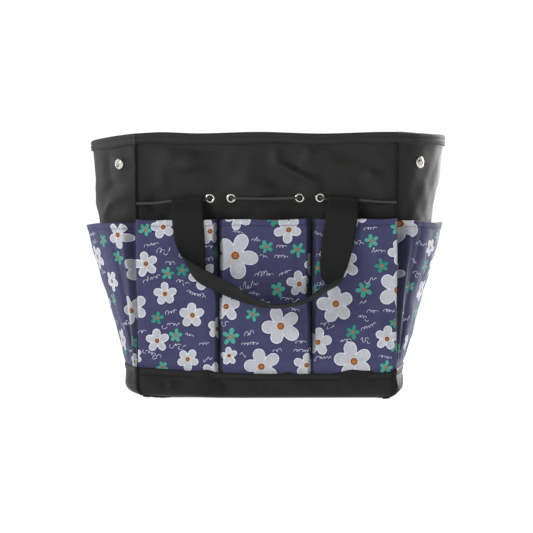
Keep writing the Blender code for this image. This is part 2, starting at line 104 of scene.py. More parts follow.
def ridge(u, v, points, width, height):
    """A soft fold along a polyline: u, v, points and width in mm; fades out at both ends."""
    p = np.array(points, float)
    best = np.full(np.broadcast(u, v).shape, 1e9)
    along = np.zeros_like(best)
    total = np.r_[0, np.cumsum(np.hypot(*np.diff(p, axis=0).T))]
    for k in range(len(p) - 1):
        d = p[k + 1] - p[k]
        L = np.hypot(*d)
        t = np.clip(((u - p[k, 0]) * d[0] + (v - p[k, 1]) * d[1]) / L ** 2, 0, 1)
        r = np.hypot(u - p[k, 0] - t * d[0], v - p[k, 1] - t * d[1])
        m = r < best
        best = np.where(m, r, best)
        along = np.where(m, total[k] + t * L, along)
    fade = np.sin(PI * np.clip(along / total[-1], 0.04, 0.96)) ** 0.6
    return height * np.exp(-(best / width) ** 2) * fade


# ------------------------------------------------------------------ mesh helpers
def new_object(name, verts, faces, material, smooth_shade=True):
    mesh = bpy.data.meshes.new(name)
    mesh.from_pydata(np.asarray(verts, float).reshape(-1, 3).tolist(), [], [tuple(int(i) for i in f) for f in faces])
    mesh.update()
    if smooth_shade:
        mesh.shade_smooth()
    obj = bpy.data.objects.new(name, mesh)
    bpy.context.scene.collection.objects.link(obj)
    if material:
        mesh.materials.append(material)
    return obj


def put(mesh, name, values):
    values = np.asarray(values, np.float32)
    kind = "FLOAT" if values.ndim == 1 else "FLOAT_VECTOR"
    a = mesh.attributes.new(name, kind, "POINT")
    a.data.foreach_set("value" if kind == "FLOAT" else "vector", values.ravel())


def put_uv(mesh, uv):
    layer = mesh.uv_layers.new(name="Flat")
    idx = np.empty(len(mesh.loops), np.int32)
    mesh.loops.foreach_get("vertex_index", idx)
    layer.data.foreach_set("uv", np.asarray(uv, np.float32)[idx].ravel())


def grid_normals(P, wrap):
    """Normals of a grid (rows, cols, 3), by du x dv."""
    if wrap:
        du = np.roll(P, -1, 1) - np.roll(P, 1, 1)
    else:
        du = np.gradient(P, axis=1)
    dv = np.gradient(P, axis=0)
    n = np.cross(du, dv)
    n /= np.maximum(np.linalg.norm(n, axis=2, keepdims=True), 1e-12)
    return n


def sheet_solid(name, P, thick, material, fab, extra=None, wrap=False, flip=False, inner_mat=None):
    """A closed cloth solid from its outer surface P (rows, cols, 3). fab: flat coordinates (rows, cols, 2) in mm.
    extra: more per-point attributes. The edges are rounded over."""
    n = grid_normals(P, wrap)
    if flip:
        n = -n
    rows, cols = P.shape[:2]
    Q = P - n * thick
    mid = (P + Q) / 2
    ring = []      # boundary loop of grid indices
    if wrap:
        loops = [[(0, j) for j in range(cols)], [(rows - 1, j) for j in range(cols)]]
    else:
        loops = [[(0, j) for j in range(cols)] + [(i, cols - 1) for i in range(1, rows)] + [(rows - 1, j) for j in range(cols - 2, -1, -1)] + [(i, 0) for i in range(rows - 2, 0, -1)]]
    verts = [P.reshape(-1, 3), Q.reshape(-1, 3)]
    N = rows * cols
    idx = np.arange(N).reshape(rows, cols)
    faces = []
    jj = np.arange(cols if wrap else cols - 1)
    a = idx[:-1][:, jj]
    b = idx[:-1][:, (jj + 1) % cols]
    c = idx[1:][:, (jj + 1) % cols]
    d = idx[1:][:, jj]
    quads = np.stack([a, b, c, d], -1).reshape(-1, 4)
    if flip:
        quads = quads[:, ::-1]
    faces += quads.tolist()
    faces += (quads[:, ::-1] + N).tolist()
    base = 2 * N
    edge_src = []
    for li, loop in enumerate(loops):
        L = len(loop)
        I = np.array([i for i, _ in loop])
        J = np.array([j for _, j in loop])
        # push the rim outwards, along the sheet
        if wrap:
            nb = P[1 if li == 0 else rows - 2][J]
            push = P[I, J] - nb
        else:
            ii = np.clip(I, 1, rows - 2)
            kk = np.clip(J, 1, cols - 2)
            push = P[I, J] - P[ii, kk]
        push = push / np.maximum(np.linalg.norm(push, axis=1, keepdims=True), 1e-12)
        E = mid[I, J] + push * thick * 0.42
        verts.append(E)
        o = idx[I, J]
        k = np.arange(L)
        e = base + k
        o2, e2 = o[(k + 1) % L], base + (k + 1) % L
        f1 = np.stack([o, e, e2, o2], -1)
        f2 = np.stack([e, o + N, o2 + N, e2], -1)
        forward = (not wrap) or li == 0
        if forward != flip:
            pass
        else:
            f1, f2 = f1[:, ::-1], f2[:, ::-1]
        faces += f1.tolist() + f2.tolist()
        edge_src.append(o)
        base += L
    V = np.concatenate(verts)
    obj = new_object(name, V, faces, material)
    mesh = obj.data
    src = np.concatenate([np.arange(N), np.arange(N)] + edge_src)
    f = np.asarray(fab, float).reshape(-1, 2)[src]
    inner = np.concatenate([np.zeros(N), np.ones(N)] + [np.full(len(e), 0.3) for e in edge_src])
    put(mesh, "fab", np.column_stack([f, inner]))
    put_uv(mesh, f * 0.01)
    for key, val in (extra or {}).items():
        val = np.asarray(val, float)
        put(mesh, key, val.reshape(N, -1)[src] if val.ndim == 3 else val.reshape(N)[src])
    if inner_mat is not None:
        mesh.materials.append(inner_mat)
        mi = np.zeros(len(mesh.polygons), np.int32)
        mi[len(quads):2 * len(quads)] = 1
        mesh.polygons.foreach_set("material_index", mi)
    return obj


def tube_along(name, centre, profile, material, closed, normal_hint=None, caps=True, fab_len=True, frames=None):
    """Sweeps profile points (k, 2) given in (outward, up) axes along centre (n, 3) with frames (n, 3, 3) rows = along, out, up."""
    C = np.asarray(centre, float)
    n = len(C)
    out, up = frames[:, 1], frames[:, 2]
    prof = np.asarray(profile, float)
    if prof.ndim == 2:
        prof = np.repeat(prof[None], n, 0)
    k = prof.shape[1]
    V = C[:, None] + out[:, None] * prof[:, :, :1] + up[:, None] * prof[:, :, 1:2]
    idx = np.arange(n * k).reshape(n, k)
    ii = np.arange(n if closed else n - 1)
    kk = np.arange(k)
    a = idx[ii][:, kk]
    b = idx[ii][:, (kk + 1) % k]
    c = idx[(ii + 1) % n][:, (kk + 1) % k]
    d = idx[(ii + 1) % n][:, kk]
    faces = np.stack([a, b, c, d], -1).reshape(-1, 4).tolist()
    if not closed and caps:
        faces.append(idx[0, ::-1].tolist())
        faces.append(idx[-1].tolist())
    obj = new_object(name, V.reshape(-1, 3), faces, material)
    s = np.r_[0, np.cumsum(np.linalg.norm(np.diff(C, axis=0), axis=1))] * 1000
    pl = np.r_[0, np.cumsum(np.linalg.norm(np.diff(prof[0], axis=0), axis=1))] * 1000
    fab = np.stack([np.repeat(s[:, None], k, 1), np.repeat(pl[None], n, 0)], -1).reshape(-1, 2)
    put(obj.data, "fab", np.column_stack([fab, np.zeros(len(fab))]))
    put_uv(obj.data, fab * 0.01)
    fix_outward(obj)
    return obj


def fix_outward(obj):
    """Turns a closed mesh's faces outwards."""
    import bmesh
    bm = bmesh.new()
    bm.from_mesh(obj.data)
    bmesh.ops.recalc_face_normals(bm, faces=bm.faces)
    if bm.calc_volume(signed=True) < 0:
        bmesh.ops.reverse_faces(bm, faces=bm.faces)
    bm.to_mesh(obj.data)
    bm.free()


STITCH_RINGS = [(-1.0, 0.0), (-0.72, 0.72), (0.0, 1.0), (0.72, 0.72), (1.0, 0.0)]


def stitches(name, rows, material, body="bag", length=2.1, gap=0.9, radius=0.27, sides=6):
    """One mesh of thread stitches. rows: list of (points (n,3), normals (n,3)) in metres; sizes in mm."""
    verts, faces = [], []
    base = 0
    pitch = (length + gap) * MM
    for pts, nrm in rows:
        pts, nrm = np.asarray(pts, float), np.asarray(nrm, float)
        s = np.r_[0, np.cumsum(np.linalg.norm(np.diff(pts, axis=0), axis=1))]
        count = int((s[-1] - 0.4 * MM) / pitch)
        if count < 1:
            continue
        off = (s[-1] - count * pitch + gap * MM) / 2
        a = off + np.arange(count) * pitch
        b = a + length * MM
        A = np.stack([np.interp(a, s, pts[:, c]) for c in range(3)], -1)
        B = np.stack([np.interp(b, s, pts[:, c]) for c in range(3)], -1)
        Nn = np.stack([np.interp((a + b) / 2, s, nrm[:, c]) for c in range(3)], -1)
        Nn /= np.linalg.norm(Nn, axis=1, keepdims=True)
        d = (B - A) / 2
        t = d / np.linalg.norm(d, axis=1, keepdims=True)
        side = np.cross(t, Nn)
        side /= np.linalg.norm(side, axis=1, keepdims=True)
        up = np.cross(side, t)
        mid = (A + B) / 2 + up * radius * 0.15 * MM
        ring_ids = []
        for pos, r in STITCH_RINGS:
            sink = -0.5 * radius * MM * abs(pos) ** 3
            if r == 0:
                verts.append(mid + d * pos + up * sink)
                ring_ids.append(base + np.arange(count)[:, None])
                base += count
            else:
                ring = []
                for k in range(sides):
                    w = 2 * PI * k / sides
                    ring.append(mid + d * pos + up * sink + (side * math.cos(w) + up * math.sin(w)) * r * radius * MM)
                R = np.stack(ring, 1).reshape(-1, 3)
                verts.append(R)
                ring_ids.append(base + np.arange(count * sides).reshape(count, sides))
                base += count * sides
        for q in range(len(ring_ids) - 1):
            x, y = ring_ids[q], ring_ids[q + 1]
            for k in range(sides):
                m = (k + 1) % sides
                if x.shape[1] == 1:
                    faces += np.stack([x[:, 0], y[:, k], y[:, m]], -1).tolist()
                elif y.shape[1] == 1:
                    faces += np.stack([x[:, k], y[:, 0], x[:, m]], -1).tolist()
                else:
                    faces += np.stack([x[:, k], y[:, k], y[:, m], x[:, m]], -1).tolist()
    obj = new_object(name, np.concatenate(verts), faces, material)
    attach(obj, body)
    return obj


# ------------------------------------------------------------------ materials
class Graph:
    """Short hand for building a node tree."""

    def __init__(self, name):
        self.mat = bpy.data.materials.new(name)
        self.mat.use_nodes = True
        self.t = self.mat.node_tree
        self.t.nodes.clear()
        self.out = self.node("ShaderNodeOutputMaterial")
        self.bsdf = self.node("ShaderNodeBsdfPrincipled")
        self.t.links.new(self.bsdf.outputs[0], self.out.inputs[0])

    def node(self, kind, **props):
        n = self.t.nodes.new(kind)
        for k, v in props.items():
            setattr(n, k, v)
        return n

    def link(self, value, socket):
        if isinstance(value, bpy.types.NodeSocket):
            self.t.links.new(value, socket)
        else:
            socket.default_value = value

    def math(self, op, a, b=None, c=None, clamp=False):
        n = self.node("ShaderNodeMath", operation=op, use_clamp=clamp)
        self.link(a, n.inputs[0])
        if b is not None:
            self.link(b, n.inputs[1])
        if c is not None:
            self.link(c, n.inputs[2])
        return n.outputs[0]

    def add(self, a, b): return self.math("ADD", a, b)
    def sub(self, a, b): return self.math("SUBTRACT", a, b)
    def mul(self, a, b): return self.math("MULTIPLY", a, b)
    def sin(self, a): return self.math("SINE", a)
    def abs(self, a): return self.math("ABSOLUTE", a)

    def step(self, x, e0, e1):
        """0 below e0, 1 above e1, smooth between; e0 may exceed e1."""
        n = self.node("ShaderNodeMapRange", interpolation_type="SMOOTHSTEP")
        self.link(x, n.inputs["Value"])
        n.inputs["From Min"].default_value = e0
        n.inputs["From Max"].default_value = e1
        return n.outputs[0]

    def attr(self, name):
        return self.node("ShaderNodeAttribute", attribute_name=name)

    def xyz(self, v):
        n = self.node("ShaderNodeSeparateXYZ")
        self.link(v, n.inputs[0])
        return n.outputs

    def vec(self, x, y, z=0.0):
        n = self.node("ShaderNodeCombineXYZ")
        for s, v in zip(n.inputs, (x, y, z)):
            self.link(v, s)
        return n.outputs[0]

    def noise(self, vector, scale, detail=2.0, rough=0.5):
        n = self.node("ShaderNodeTexNoise")
        if vector is not None:
            self.link(vector, n.inputs["Vector"])
        n.inputs["Scale"].default_value = scale
        n.inputs["Detail"].default_value = detail
        n.inputs["Roughness"].default_value = rough
        return n.outputs[0]

    def mix(self, f, a, b):
        n = self.node("ShaderNodeMix", data_type="RGBA")
        self.link(f, n.inputs[0])
        self.link(a if isinstance(a, bpy.types.NodeSocket) else (*a, 1.0), n.inputs[6])
        self.link(b if isinstance(b, bpy.types.NodeSocket) else (*b, 1.0), n.inputs[7])
        return n.outputs[2]

    def ramp_scale(self, colour, amount):
        """colour times a number socket."""
        n = self.node("ShaderNodeVectorMath", operation="SCALE")
        self.link(colour, n.inputs[0])
        self.link(amount, n.inputs["Scale"])
        return n.outputs[0]

    def bump(self, height, distance, strength=1.0, normal=None):
        n = self.node("ShaderNodeBump")
        n.inputs["Strength"].default_value = strength
        n.inputs["Distance"].default_value = distance
        self.link(height, n.inputs["Height"])
        if normal is not None:
            self.link(normal, n.inputs["Normal"])
        return n.outputs[0]

    def set(self, **kw):
        for k, v in kw.items():
            key = k.replace("_", " ")
            self.link(v if not isinstance(v, tuple) else (*v, 1.0), self.bsdf.inputs[key])


def weave(g, u, v, pitch):
    """Height 0..1 of a plain weave; u, v in mm."""
    k = 2 * PI / pitch
    su, sv = g.sin(g.mul(u, k)), g.sin(g.mul(v, k))
    cross = g.mul(su, sv)
    ribs = g.add(g.mul(g.abs(g.sin(g.mul(u, k / 2))), 0.5), g.mul(g.abs(g.sin(g.mul(v, k / 2))), 0.5))
    return g.add(g.mul(cross, 0.30), g.mul(ribs, 0.65))


def black_cloth(name, base, rough=0.62, pitch=0.85, sheen=0.10, weave_depth=0.00010):
    g = Graph(name)
    f = g.xyz(g.attr("fab").outputs["Vector"])
    u, v = f[0], f[1]
    p = g.vec(u, v, 0.0)
    w = weave(g, u, v, pitch)
    broad = g.noise(p, 0.035, 3.0)
    fine = g.noise(p, 1.3, 2.0)
    slub = g.noise(g.vec(g.mul(u, 0.25), g.mul(v, 2.2), 3.0), 1.0, 1.0)
    shade = g.add(0.70, g.add(g.mul(broad, 0.22), g.add(g.mul(fine, 0.20), g.add(g.mul(w, 0.16), g.mul(slub, 0.10)))))
    grain = g.noise(p, 0.60, 3.0, 0.65)
    speck = g.noise(p, 1.5, 2.0, 0.8)
    shade = g.mul(shade, g.add(0.56, g.add(g.mul(g.step(grain, 0.32, 0.68), 0.48), g.mul(g.step(speck, 0.32, 0.68), 0.40))))
    # painted shade: the colour is darkened by the painted_shade attribute in creases, seams, recesses and under other
    # parts
    shade = g.mul(shade, g.sub(1.0, g.mul(g.attr("painted_shade").outputs["Fac"], 0.9)))
    col = g.ramp_scale(g.mix(broad, tuple(c * 0.92 for c in base), tuple(c * 1.08 for c in base)), shade)
    g.link(col, g.bsdf.inputs["Base Color"])
    g.link(g.add(rough - 0.08, g.add(g.mul(fine, 0.14), g.mul(w, 0.05))), g.bsdf.inputs["Roughness"])
    b = g.bump(g.noise(p, 0.22, 3.0), 0.0005, 0.35)
    b = g.bump(g.add(w, g.mul(fine, 0.35)), weave_depth, 0.9, b)
    g.link(b, g.bsdf.inputs["Normal"])
    g.bsdf.inputs["Sheen Weight"].default_value = sheen
    g.bsdf.inputs["Sheen Roughness"].default_value = 0.45
    g.bsdf.inputs["Specular IOR Level"].default_value = 0.24
    return g.mat


def srgb(r, g, b):
    return tuple(((c / 255 + 0.055) / 1.055) ** 2.4 if c > 10 else c / 255 / 12.92 for c in (r, g, b))


def printed_cloth(name):
    g = Graph(name)
    f = g.xyz(g.attr("fab").outputs["Vector"])
    u, v = f[0], f[1]
    p = g.vec(u, v, 0.0)
    w = weave(g, u, v, 0.62)
    fine = g.noise(p, 1.6, 2.0)
    broad = g.noise(p, 0.03, 2.0)
    flowers = g.xyz(g.attr("flowers").outputs["Vector"])     # daisy edge, daisy centre, petal stripe
    small = g.xyz(g.attr("small_flowers").outputs["Vector"])  # blossom edge, blossom centre, tone
    # hand-drawn look: edges wander a little
    wob = g.mul(g.sub(g.noise(p, 0.55, 1.0), 0.5), 0.55)
    dw = g.add(flowers[0], wob)
    dc = g.add(flowers[1], g.mul(wob, 0.8))
    ds = g.add(small[0], g.mul(wob, 0.8))
    dsc = g.add(small[1], g.mul(wob, 0.6))
    ground = g.mix(broad, srgb(62, 62, 97), srgb(70, 70, 106))
    col = ground
    # small blossoms
    col = g.mix(g.mul(g.step(ds, 1.0, 0.1), 0.55), col, srgb(36, 38, 66))
    teal = g.mix(g.step(g.add(small[2], g.mul(fine, 0.5)), 0.2, 1.1), srgb(48, 136, 118), srgb(76, 162, 146))
    col = g.mix(g.step(ds, 0.18, -0.18), col, teal)
    col = g.mix(g.step(dsc, 0.45, 0.0), col, srgb(150, 92, 78))
    col = g.mix(g.step(dsc, -0.5, -1.0), col, srgb(196, 128, 98))
    # daisies
    col = g.mix(g.mul(g.step(dw, 1.3, 0.15), 0.62), col, srgb(38, 36, 66))
    petal = g.mix(g.step(dw, -1.2, -0.2), srgb(190, 192, 200), srgb(224, 227, 238))
    streak = g.noise(g.vec(g.mul(flowers[2], 1.0), g.mul(dc, 0.12), 0.0), 1.1, 2.0)
    petal = g.ramp_scale(petal, g.add(0.93, g.mul(streak, 0.12)))
    col = g.mix(g.step(dw, 0.16, -0.16), col, petal)
    col = g.mix(g.step(dc, 1.5, 0.2), col, srgb(214, 201, 190))
    centre = g.mix(g.step(g.add(dc, g.mul(fine, 0.9)), -0.2, -1.3), srgb(116, 66, 34), srgb(170, 108, 62))
    col = g.mix(g.step(dc, 0.22, -0.22), col, centre)
    grain = g.noise(p, 0.75, 3.0, 0.7)
    slub = g.noise(g.vec(g.mul(u, 0.16), g.mul(v, 1.5), 5.0), 1.0, 1.0)
    slub2 = g.noise(g.vec(g.mul(u, 1.5), g.mul(v, 0.16), 9.0), 1.0, 1.0)
    shade = g.add(0.66, g.add(g.add(g.mul(w, 0.16), g.mul(g.step(fine, 0.32, 0.68), 0.10)), g.add(g.mul(g.step(grain, 0.32, 0.68), 0.16), g.mul(g.step(g.add(slub, slub2), 0.8, 1.2), 0.14))))
    # painted shade: the print is darkened by the painted_shade attribute in pleats, by seams and under hems
    shade = g.mul(shade, g.sub(1.0, g.mul(g.attr("painted_shade").outputs["Fac"], 0.92)))
    col = g.ramp_scale(col, shade)
    # the unprinted inside
    inside = g.step(f[2], 0.45, 0.75)
    col = g.mix(inside, col, g.ramp_scale(g.mix(broad, srgb(58, 58, 84), srgb(66, 66, 94)), shade))
    g.link(col, g.bsdf.inputs["Base Color"])
    g.link(g.add(0.60, g.mul(fine, 0.16)), g.bsdf.inputs["Roughness"])
    b = g.bump(g.noise(p, 0.2, 3.0), 0.0005, 0.30)
    b = g.bump(g.add(w, g.mul(fine, 0.3)), 0.00008, 0.85, b)
    g.link(b, g.bsdf.inputs["Normal"])
    g.bsdf.inputs["Sheen Weight"].default_value = 0.08
    g.bsdf.inputs["Sheen Roughness"].default_value = 0.5
    g.bsdf.inputs["Specular IOR Level"].default_value = 0.16
    return g.mat


def webbing_material(name, base):
    g = Graph(name)
    f = g.xyz(g.attr("fab").outputs["Vector"])
    u, v = f[0], f[1]          # u along, v across, mm
    p = g.vec(u, v, 0.0)
    # herringbone rows: the slant turns over every 4 mm across the tape
    tri = g.math("PINGPONG", v, 4.0)
    twill = g.sin(g.mul(g.add(u, g.mul(tri, 0.9)), 2 * PI / 2.1))
    ribs = g.abs(g.sin(g.mul(v, PI / 1.33)))
    fine = g.noise(p, 0.9, 3.0, 0.7)
    h = g.add(g.mul(ribs, 0.6), g.mul(twill, 0.35))
    shade = g.add(0.30, g.add(g.mul(h, 0.62), g.mul(g.step(fine, 0.32, 0.68), 0.62)))
    g.link(g.ramp_scale(g.mix(g.noise(p, 0.06, 2.0), tuple(c * 0.9 for c in base), tuple(c * 1.12 for c in base)), shade), g.bsdf.inputs["Base Color"])
    g.link(g.add(0.66, g.mul(fine, 0.16)), g.bsdf.inputs["Roughness"])
    b = g.bump(g.add(h, g.mul(fine, 0.5)), 0.00030, 1.0)
    g.link(b, g.bsdf.inputs["Normal"])
    g.bsdf.inputs["Sheen Weight"].default_value = 0.03
    g.bsdf.inputs["Sheen Roughness"].default_value = 0.4
    g.bsdf.inputs["Specular IOR Level"].default_value = 0.20
    return g.mat


def thread_material(name, base):
    g = Graph(name)
    tc = g.node("ShaderNodeTexCoord").outputs["Object"]
    n = g.noise(tc, 2600.0, 1.0)
    g.link(g.ramp_scale(g.mix(0.5, base, base), g.add(0.7, g.mul(n, 0.6))), g.bsdf.inputs["Base Color"])
    g.link(g.add(0.45, g.mul(n, 0.2)), g.bsdf.inputs["Roughness"])
    g.link(g.bump(n, 0.00008, 0.8), g.bsdf.inputs["Normal"])
    return g.mat


def nickel_material(name):
    g = Graph(name)
    tc = g.node("ShaderNodeTexCoord").outputs["Object"]
    n = g.noise(tc, 700.0, 3.0)
    fine = g.noise(tc, 5200.0, 2.0)
    g.link(g.mix(n, srgb(196, 193, 186), srgb(222, 219, 212)), g.bsdf.inputs["Base Color"])
    g.bsdf.inputs["Metallic"].default_value = 1.0
    g.link(g.add(0.16, g.mul(n, 0.16)), g.bsdf.inputs["Roughness"])
    g.link(g.bump(fine, 0.00001, 0.10), g.bsdf.inputs["Normal"])
    return g.mat


def elastic_material(name):
    g = Graph(name)
    f = g.xyz(g.attr("fab").outputs["Vector"])
    u, v = f[0], f[1]
    a = g.sin(g.add(g.mul(u, 2 * PI / 1.1), g.mul(v, 2 * PI / 1.36)))
    b = g.sin(g.sub(g.mul(u, 2 * PI / 1.1), g.mul(v, 2 * PI / 1.36)))
    h = g.math("MAXIMUM", a, b)
    n = g.noise(g.vec(u, v, 0.0), 3.0, 2.0)
    g.link(g.ramp_scale(g.mix(0.5, srgb(62, 62, 62), srgb(62, 62, 62)), g.add(0.7, g.add(g.mul(h, 0.18), g.mul(n, 0.3)))), g.bsdf.inputs["Base Color"])
    g.link(g.add(0.5, g.mul(n, 0.2)), g.bsdf.inputs["Roughness"])
    g.link(g.bump(h, 0.00018, 0.9), g.bsdf.inputs["Normal"])
    g.bsdf.inputs["Sheen Weight"].default_value = 0.15
    return g.mat


def board_material(name):
    g = Graph(name)
    tc = g.node("ShaderNodeTexCoord").outputs["Object"]
    n = g.noise(tc, 420.0, 4.0, 0.6)
    m = g.noise(tc, 24.0, 3.0)
    g.link(g.mix(m, srgb(44, 44, 45), srgb(58, 58, 59)), g.bsdf.inputs["Base Color"])
    g.link(g.add(0.42, g.mul(n, 0.25)), g.bsdf.inputs["Roughness"])
    g.link(g.bump(n, 0.00015, 0.6), g.bsdf.inputs["Normal"])
    return g.mat


def ink_material(name):
    g = Graph(name)
    tc = g.node("ShaderNodeTexCoord").outputs["Object"]
    n = g.noise(tc, 1500.0, 2.0)
    g.link(g.ramp_scale(g.mix(0.5, srgb(214, 216, 230), srgb(214, 216, 230)), g.add(0.72, g.mul(n, 0.5))), g.bsdf.inputs["Base Color"])
    g.link(g.add(0.6, g.mul(n, 0.1)), g.bsdf.inputs["Roughness"])
    g.bsdf.inputs["Specular IOR Level"].default_value = 0.2
    return g.mat


INK = ink_material("pale_ink")
CLOTH = black_cloth("oxford_cloth", srgb(31, 31, 30), rough=0.58, sheen=0.03)
BAND = black_cloth("band_cloth", srgb(28, 27, 27), rough=0.60, sheen=0.03)
TAPE = black_cloth("binding_tape", srgb(40, 40, 40), rough=0.62, pitch=0.95, weave_depth=0.00016, sheen=0.05)
LINING = black_cloth("cloth_back", srgb(38, 38, 38), rough=0.72, sheen=0.02)
PRINT = printed_cloth("daisy_print")
WEB = webbing_material("polyester_webbing", srgb(30, 30, 29))
THREAD = thread_material("black_thread", srgb(30, 30, 30))
# a lighter copy of the black thread for the pockets' hems: painted highlight, the thread itself is black
THREAD_LIT = thread_material("black_thread_painted_light", srgb(40, 40, 44))
NICKEL = nickel_material("nickel_plate")
ELASTIC = elastic_material("braided_elastic")
BOARD = board_material("fibre_board")


# ------------------------------------------------------------------ camera
CAM_D, CAM_AZ, CAM_EL, CAM_ROLL = 1.70, math.radians(1.4), math.radians(0.9), math.radians(0.28)
SPAN = 0.549              # width seen at the target, in metres
TARGET = np.array([0.0, -0.080, 0.1367])
cam_dir = np.array([math.sin(CAM_AZ) * math.cos(CAM_EL), -math.cos(CAM_AZ) * math.cos(CAM_EL), math.sin(CAM_EL)])
cam_pos = TARGET + CAM_D * cam_dir
right = np.cross(-cam_dir, [0, 0, 1.0])
right /= np.linalg.norm(right)
up0 = np.cross(right, -cam_dir)
cam_r = right * math.cos(CAM_ROLL) - up0 * math.sin(CAM_ROLL)
cam_u = right * math.sin(CAM_ROLL) + up0 * math.cos(CAM_ROLL)
cam_data = bpy.data.cameras.new("camera")
cam_data.sensor_width = 36
cam_data.lens = 36 * CAM_D / SPAN
cam = bpy.data.objects.new("camera", cam_data)
bpy.context.scene.collection.objects.link(cam)
cam.matrix_world = Matrix([[cam_r[k], cam_u[k], cam_dir[k], cam_pos[k]] for k in range(3)] + [[0, 0, 0, 1]])
bpy.context.scene.camera = cam


# ------------------------------------------------------------------ body cloth: one lofted shell with pinched corner seams
def panel_relief(side, x, z):
    """Soft relief of the front (side -1) or back panel, in metres outwards; x, z arrays in metres."""
    u, v = x * 1000, z * 1000
    hw = half_w(z) * 1000
    edge = smooth(0, 20, hw - np.abs(u))
    top = smooth(0, 14, 266 - v)
    out = 0.0022 * ripple(u, v, 11 if side < 0 else 12, ((85, 1.0), (42, 0.5), (23, 0.22)))
    if side < 0:
        out += ridge(u, v, [(14, 263), (10, 252), (12, 243), (33, 232), (54, 220)], 5.0, 0.0048)
        out += ridge(u, v, [(46, 262), (42, 247), (38, 239)], 4.5, 0.0034)
        out -= ridge(u, v, [(-8, 240), (4, 228), (24, 212)], 10.0, 0.0022)
        out -= ridge(u, v, [(26, 258), (27, 246), (44, 236)], 6.0, 0.0014)
        out += ridge(u, v, [(-66, 254), (-86, 230), (-104, 213)], 10.0, 0.0038)
        out -= ridge(u, v, [(-48, 250), (-66, 232), (-84, 212)], 8.0, 0.0018)
        out += ridge(u, v, [(-130, 206), (-120, 216), (-106, 222)], 5.0, 0.0016)
        out += ridge(u, v, [(131, 207), (116, 222), (98, 236)], 9.0, 0.0040)
        out -= ridge(u, v, [(122, 250), (108, 240), (84, 226)], 7.0, 0.0018)
        out += ridge(u, v, [(-30, 222), (-8, 214), (18, 217)], 6.0, 0.0012)
    else:
        out += ridge(u, v, [(-95, 258), (-60, 236), (-10, 226), (40, 238)], 9.0, 0.0026)
        out += ridge(u, v, [(70, 262), (62, 246), (84, 226)], 6.0, 0.0024)
        out -= ridge(u, v, [(20, 214), (60, 224), (105, 250)], 9.0, 0.0020)
    # the cloth leans in a little between the eyelets and the pockets' mouths
    out -= 0.0016 * np.exp(-((v - 196) / 12) ** 2)
    out = out * edge * (0.15 + 0.85 * top)
    # behind the handles' folds it stays flat, which leaves them room to turn
    roots = np.minimum(np.abs(u + 81.5), np.abs(u - 79.0)) if side < 0 else np.minimum(np.abs(u - 81.5), np.abs(u + 79.0))
    room = smooth(30, 17, roots) * smooth(186, 194, v) * smooth(246, 228, v)
    return out - room * np.maximum(out + 0.0013, 0)


def gusset_relief(side, q, v, half):
    """Relief of a gusset; q arc position from its middle in mm (front negative), v height in mm."""
    edge = smooth(0, 14, half - np.abs(q))
    top = smooth(0, 14, 266 - v)
    fold = 0.9 if side < 0 else 0.0
    out = 0.0009 * ripple(q, v, 21 if side < 0 else 22, ((90, 1.0), (45, 0.5), (24, 0.25)))
    for m in (-1, 1):
        out += ridge(q * m, v, [(44, 192), (62, 205), (90, 212)], 5.0, 0.0036 * fold)
        out -= ridge(q * m, v, [(44, 214), (62, 222), (84, 226)], 6.0, 0.0022 * fold)
        out -= ridge(q * m, v, [(52, 264), (56, 238), (66, 218)], 8.0, 0.0020 * fold)
    out = out * edge * (0.15 + 0.85 * top)
    # behind the side pocket the gusset never stands out into it
    behind = 1 - smooth(184, 194, v)
    return out - behind * np.maximum(out, 0)


def gusset_xy(side, s, z, off=0.0, reach=None):
    yg = half_d(z) if reach is None else reach
    # the left side stands out a little more than the right below the rim
    b = through(BULGE_AT, z) + (0.0034 if side < 0 else -0.0038) * (1 - smooth(0.190, 0.262, z))
    p = 2.0 - 0.42 * smooth(0.200, 0.270, z)      # the fold in the middle sharpens towards the rim
    nx, ny = np.ones_like(s * z), p * b * np.sign(s) * np.abs(s) ** (p - 1) / yg
    n = np.hypot(nx, ny)
    return side * (half_w(z) + b * (1 - np.abs(s) ** p) + off * nx / n), s * yg + off * ny / n


RIM_FRONT = [(-137, -0.6), (-110, 0.7), (-70, -0.8), (-6, 0.3), (56, -1.8), (112, -0.6), (137, -0.6)]      # x, height change, mm
RIM_BACK = [(-137, -0.4), (-90, 0.6), (-40, -0.9), (20, 0.4), (75, -0.7), (137, 0.2)]


def round_base(P):
    """Rounds the bag's lower corners and lifts the left one slightly, in place."""
    z = P[..., 2]
    a = 1 - np.sqrt(np.maximum(0, 1 - (np.clip(0.012 - z, 0, 0.012) / 0.012) ** 2))
    b = 1 - np.sqrt(np.maximum(0, 1 - (np.clip(0.006 - z, 0, 0.006) / 0.006) ** 2))
    P[..., 0] *= 1 - 0.062 * a
    P[..., 1] -= np.sign(P[..., 1]) * 0.0042 * b
    P[..., 0] -= 0.0014 * (1 - smooth(0.020, 0.085, z))
    P[..., 2] = z + 0.0024 * smooth(-0.2, -1.0, P[..., 0] / 0.132) * (1 - smooth(0.004, 0.045, z)) * smooth(0.3, -0.6, P[..., 1] / 0.07)
    return P


NF, NG = 124, 84                  # columns on the front and on a gusset
PIN = 0.0019                      # how far the corner seam stands out
PIN_T = (0.12, 0.38, 0.5, 0.62, 0.88)


def gathered(k, n):
    """k-th of n values from -1 to 1, closer together towards both ends."""
    return math.sin(0.35 * PI * (-1 + 2 * k / (n - 1))) / math.sin(0.35 * PI)


